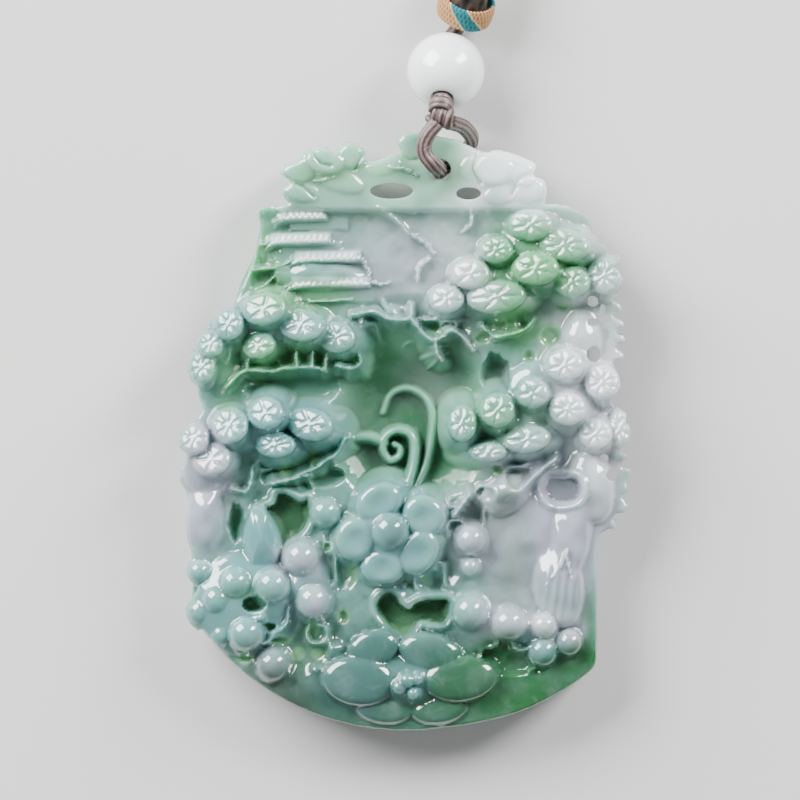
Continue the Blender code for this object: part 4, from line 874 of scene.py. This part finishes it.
def sweep(name, line, around, radius_of, colour_of, squash=1.0):
    """A tube along a line: each ring's radius is radius_of(angle, run), and squash flattens it upwards."""
    side, up = frames_along(line)
    angle, run = np.meshgrid(np.linspace(0, 2 * math.pi, around, endpoint=False), run_along(line))
    radius = radius_of(angle, run)
    rings = (line[:, None, :] + side[:, None, :] * (radius * np.cos(angle))[..., None]
             + up[:, None, :] * (radius * squash * np.sin(angle))[..., None])
    piece = loft(name, rings[:, ::-1])
    tone = colour_of(angle, run)[:, ::-1].reshape(-1, 3)
    paint(piece, np.vstack([tone, tone[:1], tone[-1:]]))
    return piece


def resample(line, spacing):
    """The line again, with its points at an even spacing."""
    run = run_along(line)
    at = np.linspace(0, run[-1], max(2, int(run[-1] / spacing) + 1))
    return np.stack([np.interp(at, run, line[:, k]) for k in range(3)], -1)


def bead_centre():
    return np.array([BEAD_PLACE[0] * UNIT, BEAD_PLACE[1] * UNIT, BEAD_DIAMETER / 2])


def axes_for(axis):
    """Two directions square to an axis and to each other."""
    side = unit(np.cross(axis, (1.0, 0.0, 0.0)))
    return side, np.cross(axis, side)


def turned_shell(name, centre, axis, profile, steps):
    """A closed profile of (radius, height) turned about an axis, as one grid closed both ways."""
    side, up = axes_for(axis)
    angle = np.linspace(0, 2 * math.pi, steps, endpoint=False)
    ring = np.cos(angle)[:, None] * side + np.sin(angle)[:, None] * up
    points = centre + profile[None, :, 0, None] * ring[:, None, :] + profile[None, :, 1, None] * axis
    return mesh_piece(name, points.reshape(-1, 3), closed_faces(steps, len(profile)), 50.0)


def make_bead():
    """A sphere bored along its axis: the profile runs down the sphere and back up the bore, its mouths eased."""
    radius, bore = BEAD_DIAMETER / 2, BEAD_BORE / 2
    start = math.asin((bore + BORE_EASE) / radius)
    sweep_angle = np.linspace(start, math.pi - start, 72)
    outside = np.stack([radius * np.sin(sweep_angle), radius * np.cos(sweep_angle)], -1)
    height = outside[0, 1] - BORE_END
    inside = np.stack([np.full(12, bore), np.linspace(-height, height, 12)], -1)
    return turned_shell("bead", bead_centre(), BORE_AXIS, np.vstack([outside, inside])[::-1], 112)


def collar_centre():
    """Beside the bead, so high that the leaning ring touches the surface."""
    lean = math.asin(COLLAR_AXIS[2])
    spot = bead_centre() + COLLAR_SIDE * (BEAD_DIAMETER / 2 + COLLAR_DIAMETER / 2)
    spot[2] = COLLAR_DIAMETER / 2 * math.cos(lean) + COLLAR_LENGTH / 2 * math.sin(lean)
    return spot


def stem_foot():
    return collar_centre() - COLLAR_AXIS * (0.3 * COLLAR_LENGTH)


def stem_route():
    """Points of the stem, from inside the ring up, over and down to the surface, with the way it heads."""
    radius = STEM_DIAMETER / 2
    foot, ahead = stem_foot(), unit((COLLAR_AXIS[0], COLLAR_AXIS[1], 0.0))
    out = foot + COLLAR_AXIS * (0.6 * STEM_DIAMETER)
    high = out + ahead * STEM_AHEAD[0] + np.array((0, 0, STEM_RISE))
    down = high + ahead * STEM_AHEAD[1]
    down[2] = radius + 0.45 * (high[2] - radius)
    rest = down + ahead * STEM_AHEAD[2]
    rest[2] = radius
    end = rest + ahead * STEM_AHEAD[3]
    return np.array([foot, out, high, down, rest, end]), ahead


def braid_surface(radius, strands, pitch, depth):
    """Radius and tone of a round braid: two families of helical ribs cross, and the higher one shows; the tone darkens
    down between the ribs as painted shade.
    """
    def rib(angle, run):
        left = np.abs(np.sin(strands * angle / 2 + math.pi * run / pitch))
        right = np.abs(np.sin(strands * angle / 2 - math.pi * run / pitch))
        return np.maximum(left, right)
    # Painted shade: the tone runs from the thread's colour on a rib's crest to a dark shade down between the ribs.
    return (lambda angle, run: radius * (1 - depth + depth * rib(angle, run) ** 2),
            lambda angle, run: over(BRAID_GROOVE_SHADE, BRAID_LIGHT, rib(angle, run) ** 3))


def neck_cord_path():
    """Out of the stem, round the coil inwards on the surface and outwards on top, and back to the stem."""
    half = NECK_CORD / 2
    route, ahead = stem_route()
    aside = np.array((ahead[1], -ahead[0], 0.0))
    end = smooth_line(route, 4)[-1]
    outer_line = COIL_INNER_LINE + COIL_LAYER_TURNS * TURN_PITCH
    centre = np.array((0.0014, end[1] + COIL_BEYOND + outer_line + half, 0.0))
    start = end + ahead * CLEARANCE
    start[2] = half
    beside = outer_line + half + CLEARANCE + half
    strands = []
    for hand, steps in ((1.0, OUT_ROUTE), (-1.0, BACK_ROUTE)):
        first = start + aside * (hand * (half + CLEARANCE))
        strands.append([first] + [first + np.array(step) for step in steps])
    part_turn = (OUT_MEETS - BACK_MEETS) / 360.0
    climbed = COIL_LAYER_TURNS + COIL_CLIMB_TURNS
    total = round(climbed + COIL_UPPER_TURNS + part_turn) - part_turn
    turns = np.linspace(0, total, 240)
    inward = outer_line - TURN_PITCH * turns
    outward = COIL_INNER_LINE + (outer_line - COIL_INNER_LINE) * (turns - climbed) / (total - climbed)
    radius = np.where(turns < COIL_LAYER_TURNS, inward, np.where(turns < climbed, COIL_INNER_LINE, outward))
    for away in (turns, total - turns):
        radius = radius + (beside - outer_line) * clamp(1 - away / COIL_SWING_TURNS) ** 2
    rise = clamp((turns - COIL_LAYER_TURNS) / COIL_CLIMB_TURNS)
    height = half + TURN_PITCH * rise * rise * (3 - 2 * rise)
    angle = math.radians(OUT_MEETS) + turns * 2 * math.pi
    coil = centre + np.stack([radius * np.cos(angle), radius * np.sin(angle), height], -1)
    path = np.vstack([strands[0], coil, strands[1][::-1]])
    return resample(smooth_line(path, 4), NECK_CORD_STEP)


def knot_centres():
    upper = bead_centre() - BORE_AXIS * (BEAD_DIAMETER / 2 + CLEARANCE + 0.55 * THIN_CORD)
    return upper, upper + np.array((0.00005, -0.0007, -0.0001))


def loop_route():
    """The same points as the plain cord's: down into the hole, along behind the crown, and up to the knot."""
    x, y = CORD_HOLE[:2]
    half = THIN_CORD / 2
    low = knot_centres()[1] / UNIT
    over = 6.8 + (half + CLEARANCE) / UNIT
    under = CROWN_BACK - (half + CLEARANCE) / UNIT
    return UNIT * np.array([
        (low[0] - 0.5, low[1] - 0.8, low[2] + 1.0), (x - 1.2, y + 3.5, over + 0.3), (x - 1.6, y + 2.5, over + 0.25),
        (x - 1.5, y + 1.5, over + 0.2), (x - 0.8, y + 0.6, over + 0.1), (x - 0.1, y, over - 0.9),
        (x, y, (over + under) / 2), (x, y, under + 1.0), (x + 0.4, y + 0.3, under), (x + 1.6, y + 1.3, under),
        (x + 2.9, y + 2.5, under), (x + 3.2, y + 3.4, under + 1.2), (x + 2.3, y + 4.4, under + 3.6),
        (low[0] + 0.9, low[1] - 0.6, low[2] - 0.6),
    ])


def satin_surface(radius, ribs, twist):
    """Radius and tone of a satin cord: a few soft strands side by side, with fine threads across each; the tone
    darkens in the dips between the strands as painted shade.
    """
    def strand(angle, run):
        return np.abs(np.cos(ribs * angle / 2 + run * twist))

    def shape(angle, run):
        threads = THREAD_DEPTH * np.sin(run / THREAD_PITCH * math.pi + angle * 6)
        return radius * (0.80 + 0.20 * strand(angle, run) ** 0.7 + threads)
    # Painted shade: the tone runs from the satin's colour on each strand to a dark shade between the strands.
    return shape, lambda angle, run: over(SATIN_GROOVE_SHADE, SATIN_LIGHT, strand(angle, run) ** 1.5)


def make_loop():
    line = resample(smooth_line(loop_route(), 8), LOOP_STEP)
    return sweep("thin_cord_loop", line, 40, *satin_surface(THIN_CORD / 2, 9, 420.0), 0.9)


def wrap_line(centre, axis, radius, height, turns, phase):
    """A helix round an axis."""
    side, up = axes_for(axis)
    t = np.linspace(0, turns * 2 * math.pi, int(60 * turns))
    return (centre + side * (radius * np.cos(t + phase))[:, None] + up * (radius * np.sin(t + phase))[:, None]
            + axis * (height * (t / t[-1] - 0.5))[:, None])


def make_knots():
    """Wrapped lumps of the thin cord: one in the bead's mouth, one over it, and a wider one across below."""
    upper, lower = knot_centres()
    down, across = -BORE_AXIS, unit((0.93, -0.32, 0.12))
    mouth = bead_centre() + down * (BEAD_DIAMETER / 2 - CLEARANCE)
    strand = satin_surface(0.288 * THIN_CORD, 4, 900.0)
    return [
        sweep(name, wrap_line(centre, axis, radius * THIN_CORD, height * THIN_CORD, turns, phase), 20, *strand)
        for name, centre, axis, radius, height, turns, phase in (
            ("knot_wrap_mouth", mouth, down, 0.34, 0.9, 3.4, 2.0),
            ("knot_wrap_upper", upper - down * KNOT_SHIFT, down, 0.52, 0.6, 3.2, 0.4),
            ("knot_wrap_lower", lower, across, 0.46, 1.3, 3.2, 1.1),
        )
    ]


def make_bead_cord():
    centre, radius, half = bead_centre(), BEAD_DIAMETER / 2, THIN_CORD / 2
    foot = stem_foot() - COLLAR_AXIS * CLEARANCE * 2
    mouth = centre + BORE_AXIS * (radius + 0.0002)
    low = mouth + (foot - mouth) * 0.4
    low[2] = half + CLEARANCE
    route = np.array([centre - BORE_AXIS * (radius - 0.0005), centre, mouth, low, foot])
    line = resample(smooth_line(route, 8), BEAD_CORD_STEP)
    return sweep("thin_cord_in_bead", line, 24, *satin_surface(half, 6, 500.0))


def make_collar():
    """A plaited ring: its section is a rounded wall, roped by crossing ribs, with turquoise bands slanting over it;
    both colours darken between the ribs as painted shade.
    """
    inner, outer = STEM_DIAMETER / 2 + CLEARANCE, COLLAR_DIAMETER / 2
    side, up = axes_for(COLLAR_AXIS)
    steps, section = 220, 40
    turn, angle = np.meshgrid(np.linspace(0, 2 * math.pi, steps, endpoint=False),
                              np.linspace(0, 2 * math.pi, section, endpoint=False), indexing="ij")
    middle, half_wall, half_long = (inner + outer) / 2, (outer - inner) / 2, COLLAR_LENGTH / 2
    across = half_long * np.sin(angle)
    slant = turn * 3 + across / half_long * 1.3
    band = np.abs(((slant / math.pi) % 2) - 1)
    cord = np.abs(np.sin(turn * 21 + across / half_long * 3.4))
    cross = np.abs(np.sin(turn * 21 - across / half_long * 3.4))
    rib = np.maximum(cord, cross) ** 2
    out = middle + half_wall * np.sign(np.cos(angle)) * np.abs(np.cos(angle)) ** 0.6 * (0.74 + 0.26 * rib)
    ring = np.cos(turn)[..., None] * side + np.sin(turn)[..., None] * up
    points = collar_centre() + out[..., None] * ring + (across * (0.95 + 0.05 * rib))[..., None] * COLLAR_AXIS
    piece = mesh_piece("collar_ring", points.reshape(-1, 3), np.roll(closed_faces(steps, section), -1, 1))
    # Painted shade: the tan and the turquoise both darken down between the ribs of the plait; the cream line and the
    # bands are the ring's own pattern.
    tan = over(TAN_GROOVE_SHADE, TAN, rib**1.5)
    blue = np.array(TURQUOISE) * (0.35 + 0.65 * rib**1.5)[..., None]
    edge = clamp(1 - np.abs(band - 0.36) / 0.05)
    paint(piece, over(np.where((band < 0.34)[..., None], blue, tan), CREAM, edge).reshape(-1, 3))
    return piece


def make_stem():
    """The bound foot of the neck cord: a round braid whose first end swells out of the ring."""
    route, _ = stem_route()
    line = resample(smooth_line(route, 12), STEM_STEP)
    swelling = clamp(np.linspace(0, len(line) * STEM_STEP / STEM_SWELL, len(line)))
    rounded = np.sqrt(np.clip(1 - (1 - swelling) ** 2, 0.10, 1))
    base, tone = braid_surface(STEM_DIAMETER / 2, 8, STEM_BRAID_PITCH, 0.12)
    return sweep("cord_stem_braid", line, 72, lambda angle, run: base(angle, run) * rounded[:, None], tone)


# Materials


def new_finish(name):
    finish = bpy.data.materials.new(name)
    finish.use_nodes = True
    nodes, links = finish.node_tree.nodes, finish.node_tree.links
    return finish, nodes, links, nodes["Principled BSDF"]


def put(node, values):
    """Sets a node's inputs by their names."""
    for name, value in values.items():
        node.inputs[name].default_value = value
    return node


def object_noise(nodes, links, **values):
    """The output of a noise on Object coordinates."""
    place = nodes.new("ShaderNodeTexCoord")
    noise = put(nodes.new("ShaderNodeTexNoise"), values)
    links.new(place.outputs["Object"], noise.inputs["Vector"])
    return noise.outputs["Fac"]


def stored_tint(nodes):
    stored = nodes.new("ShaderNodeAttribute")
    stored.attribute_name = "tint"
    return stored.outputs


def tint_and_noise(nodes, links, scale, low, high, detail):
    """The stored colour, lightened and darkened by noise, and the noise itself."""
    noise = object_noise(nodes, links, Scale=scale, Detail=detail)
    span = put(nodes.new("ShaderNodeMapRange"), {"To Min": low, "To Max": high})
    links.new(noise, span.inputs["Value"])
    mixed = nodes.new("ShaderNodeVectorMath")
    mixed.operation = "SCALE"
    links.new(stored_tint(nodes)["Color"], mixed.inputs[0])
    links.new(span.outputs["Result"], mixed.inputs["Scale"])
    return mixed.outputs["Vector"], noise


def jade_finish(settings):
    """Polished jade: the stored colour with soft clouds and pale wisps, light inside it, and a clear polish."""
    finish, nodes, links, shader = new_finish("carved_jade")
    colour, _ = tint_and_noise(nodes, links, 260.0, 0.86, 1.16, 5.0)
    wisps = object_noise(nodes, links, Scale=700.0, Detail=4.0, Distortion=1.2)
    veil = put(nodes.new("ShaderNodeMapRange"), {"From Min": 0.52, "From Max": 0.75, "To Max": 0.10})
    links.new(wisps, veil.inputs["Value"])
    mix = nodes.new("ShaderNodeMix")
    mix.data_type = "RGBA"
    put(mix, {"B": VEIL})
    links.new(veil.outputs["Result"], mix.inputs["Factor"])
    links.new(colour, mix.inputs["A"])
    links.new(mix.outputs["Result"], shader.inputs["Base Color"])
    for share, socket in ((settings.gloss, "Coat Weight"), (0.3, "Specular IOR Level")):
        polish = nodes.new("ShaderNodeMath")
        polish.operation = "MULTIPLY"
        polish.inputs[1].default_value = share
        links.new(stored_tint(nodes)["Alpha"], polish.inputs[0])
        links.new(polish.outputs["Value"], shader.inputs[socket])
    put(shader, {
        "Roughness": settings.polish, "IOR": 1.66, "Coat Roughness": 0.03, "Coat IOR": 1.66,
        "Subsurface Weight": settings.glow, "Subsurface Radius": (0.75, 1.0, 0.85),
        "Subsurface Scale": settings.glow_depth,
    })
    return finish


def bead_finish():
    """Milky stone: near white with faint clouds, light inside it, and a soft polish."""
    finish, nodes, links, shader = new_finish("milky_bead")
    ramp = nodes.new("ShaderNodeValToRGB")
    ramp.color_ramp.elements[0].color = (0.80, 0.88, 0.84, 1.0)
    ramp.color_ramp.elements[1].color = (0.93, 0.96, 0.95, 1.0)
    links.new(object_noise(nodes, links, Scale=180.0, Detail=3.0), ramp.inputs["Fac"])
    links.new(ramp.outputs["Color"], shader.inputs["Base Color"])
    put(shader, {
        "Roughness": 0.22, "IOR": 1.6, "Coat Weight": 0.9, "Coat Roughness": 0.10, "Subsurface Weight": 1.0,
        "Subsurface Radius": (0.9, 1.0, 0.95), "Subsurface Scale": 0.0016,
    })
    return finish


def thread_finish(name, scale, roughness, sheen, strength):
    """Dyed thread: the stored colour with fine fibre noise, a soft sheen and a fibre bump."""
    finish, nodes, links, shader = new_finish(name)
    colour, noise = tint_and_noise(nodes, links, scale, 0.7, 1.25, 6.0)
    links.new(colour, shader.inputs["Base Color"])
    put(shader, {"Roughness": roughness, "Sheen Weight": sheen, "Sheen Roughness": 0.4})
    bump = put(nodes.new("ShaderNodeBump"), {"Strength": strength, "Distance": 0.00008})
    links.new(noise, bump.inputs["Height"])
    links.new(bump.outputs["Normal"], shader.inputs["Normal"])
    return finish


def floor_finish():
    finish, _, _, shader = new_finish("pale_floor")
    put(shader, {"Base Color": (0.62, 0.62, 0.61, 1.0), "Roughness": 0.9})
    return finish


def wear(piece, finish):
    """The piece in its finish, riding the part's body."""
    piece.data.materials.clear()
    piece.data.materials.append(finish)
    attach(piece, BODY)
    return piece


# Operators


class PendantSettings(bpy.types.PropertyGroup):
    cell: bpy.props.FloatProperty(
        name="Carving cell", description="Grid step of the carving, in layout units",
        default=0.158, min=0.1, max=1.0)
    polish: bpy.props.FloatProperty(
        name="Polish", description="Roughness of the polished jade", default=0.08, min=0.0, max=1.0,
        subtype="FACTOR")
    gloss: bpy.props.FloatProperty(
        name="Gloss", description="Weight of the clear polish over the stone", default=0.9, min=0.0, max=1.0,
        subtype="FACTOR")
    glow: bpy.props.FloatProperty(
        name="Glow", description="Share of light that enters the stone", default=0.85, min=0.0, max=1.0,
        subtype="FACTOR")
    glow_depth: bpy.props.FloatProperty(
        name="Glow depth", description="How far light travels inside the stone", default=0.0030, min=0.0,
        max=0.02, unit="LENGTH", precision=4)


class CordSettings(bpy.types.PropertyGroup):
    sides: bpy.props.IntProperty(
        name="Cord sides", description="Points round the neck cord", default=18, min=8, max=64)


class StageSettings(bpy.types.PropertyGroup):
    view_width: bpy.props.FloatProperty(
        name="View width", description="Width of the picture at the carved face", default=0.080, unit="LENGTH")
    distance: bpy.props.FloatProperty(
        name="Camera distance", description="Height of the camera over the carved face", default=0.7, unit="LENGTH")


class PENDANT_OT_stage(bpy.types.Operator):
    """Floor, camera and soft studio light"""

    bl_idname = "pendant.stage"
    bl_label = "Stage"

    def execute(self, context):
        settings = context.scene.pendant_stage
        data = bpy.data.cameras.new("camera")
        data.sensor_width = 36.0
        data.lens = data.sensor_width * settings.distance / settings.view_width
        data.clip_start, data.clip_end = 0.01, 20.0
        camera = bpy.data.objects.new("camera", data)
        camera.location = (VIEW_CENTRE[0] * UNIT, VIEW_CENTRE[1] * UNIT, FACE_HEIGHT + settings.distance)
        context.scene.collection.objects.link(camera)
        context.scene.camera = camera
        corners = [(x * FLOOR_HALF, y * FLOOR_HALF, -FLOOR_DROP) for x, y in ((-1, -1), (1, -1), (1, 1), (-1, 1))]
        floor = mesh_piece("floor", corners, np.array([[0, 1, 2, 3]]))
        floor.data.materials.append(floor_finish())
        for name, place, size, power in LAMPS:
            lamp = bpy.data.lights.new(name, "AREA")
            lamp.shape, lamp.size, lamp.size_y, lamp.energy = "RECTANGLE", size[0], size[1], power
            holder = bpy.data.objects.new(name, lamp)
            holder.location = place
            holder.rotation_euler = (-Vector(place)).to_track_quat("-Z", "Y").to_euler()
            holder.visible_glossy = name != "front_fill"
            context.scene.collection.objects.link(holder)
        world = bpy.data.worlds.new("studio")
        world.use_nodes = True
        put(world.node_tree.nodes["Background"], {"Color": (0.93, 0.96, 1.0, 1.0), "Strength": 0.14})
        context.scene.world = world
        return {"FINISHED"}


class PENDANT_OT_neck_cord(bpy.types.Operator):
    """Braided neck cord with its coil, its bound stem and the plaited ring"""

    bl_idname = "pendant.neck_cord"
    bl_label = "Neck cord"

    def execute(self, context):
        braid = thread_finish("dark_braid", 5200.0, 0.6, 0.06, 0.5)
        path = neck_cord_path()
        sides = context.scene.pendant_cord.sides
        cord = sweep("neck_cord", path, sides, *braid_surface(NECK_CORD / 2, 6, BRAID_PITCH, 0.10))
        wear(cord, braid)
        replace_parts(cord, "neck_cord_out", "neck_cord_coil", "neck_cord_back")
        stem = wear(make_stem(), braid)
        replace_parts(stem, "cord_stem")
        ring = wear(make_collar(), thread_finish("tan_and_turquoise_braid", 4200.0, 0.7, 0.0, 0.5))
        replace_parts(ring, "collar_knot")
        return {"FINISHED"}


class PENDANT_OT_thin_cord(bpy.types.Operator):
    """Satin cord: the loop through the crown, its knot, and the length inside the bead"""

    bl_idname = "pendant.thin_cord"
    bl_label = "Thin cord"

    def execute(self, context):
        satin = thread_finish("satin_cord", 6000.0, 0.28, 0.06, 0.6)
        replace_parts(wear(make_loop(), satin), "hanging_loop")
        for piece in make_knots():
            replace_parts(wear(piece, satin), "loop_knot")
        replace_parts(wear(make_bead_cord(), satin), "bead_cord")
        return {"FINISHED"}


class PENDANT_OT_bead(bpy.types.Operator):
    """Round milky bead, bored through"""

    bl_idname = "pendant.bead"
    bl_label = "Bead"

    def execute(self, context):
        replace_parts(wear(make_bead(), bead_finish()), "jade_bead")
        return {"FINISHED"}


class PENDANT_OT_carving(bpy.types.Operator):
    """The carved plaque with its crown"""

    bl_idname = "pendant.carving"
    bl_label = "Carving"

    def execute(self, context):
        settings = context.scene.pendant_carving
        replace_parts(wear(carve_pendant(settings.cell), jade_finish(settings)), "jade_pendant")
        return {"FINISHED"}


class PENDANT_PT_panel(bpy.types.Panel):
    """Lists the steps of the pendant"""

    bl_idname = "PENDANT_PT_panel"
    bl_label = "Jade Pendant"
    bl_space_type = "VIEW_3D"
    bl_region_type = "UI"
    bl_category = "Pendant"

    def draw(self, context):
        for group in (context.scene.pendant_stage, context.scene.pendant_carving, context.scene.pendant_cord):
            for name in group.bl_rna.properties.keys():
                if name not in ("name", "rna_type"):
                    self.layout.prop(group, name)
        for operator in STEPS:
            self.layout.operator(operator.bl_idname)


STEPS = (PENDANT_OT_stage, PENDANT_OT_neck_cord, PENDANT_OT_thin_cord, PENDANT_OT_bead, PENDANT_OT_carving)
CLASSES = (PendantSettings, CordSettings, StageSettings, *STEPS, PENDANT_PT_panel)


def register():
    for cls in CLASSES:
        bpy.utils.register_class(cls)
    bpy.types.Scene.pendant_carving = bpy.props.PointerProperty(type=PendantSettings)
    bpy.types.Scene.pendant_cord = bpy.props.PointerProperty(type=CordSettings)
    bpy.types.Scene.pendant_stage = bpy.props.PointerProperty(type=StageSettings)


def unregister():
    del bpy.types.Scene.pendant_carving, bpy.types.Scene.pendant_cord, bpy.types.Scene.pendant_stage
    for cls in reversed(CLASSES):
        bpy.utils.unregister_class(cls)


def main():
    register()
    bpy.ops.pendant.stage()
    bpy.ops.pendant.neck_cord()
    bpy.ops.pendant.thin_cord()
    bpy.ops.pendant.bead()
    bpy.ops.pendant.carving()


if __name__ == "__main__":
    main()
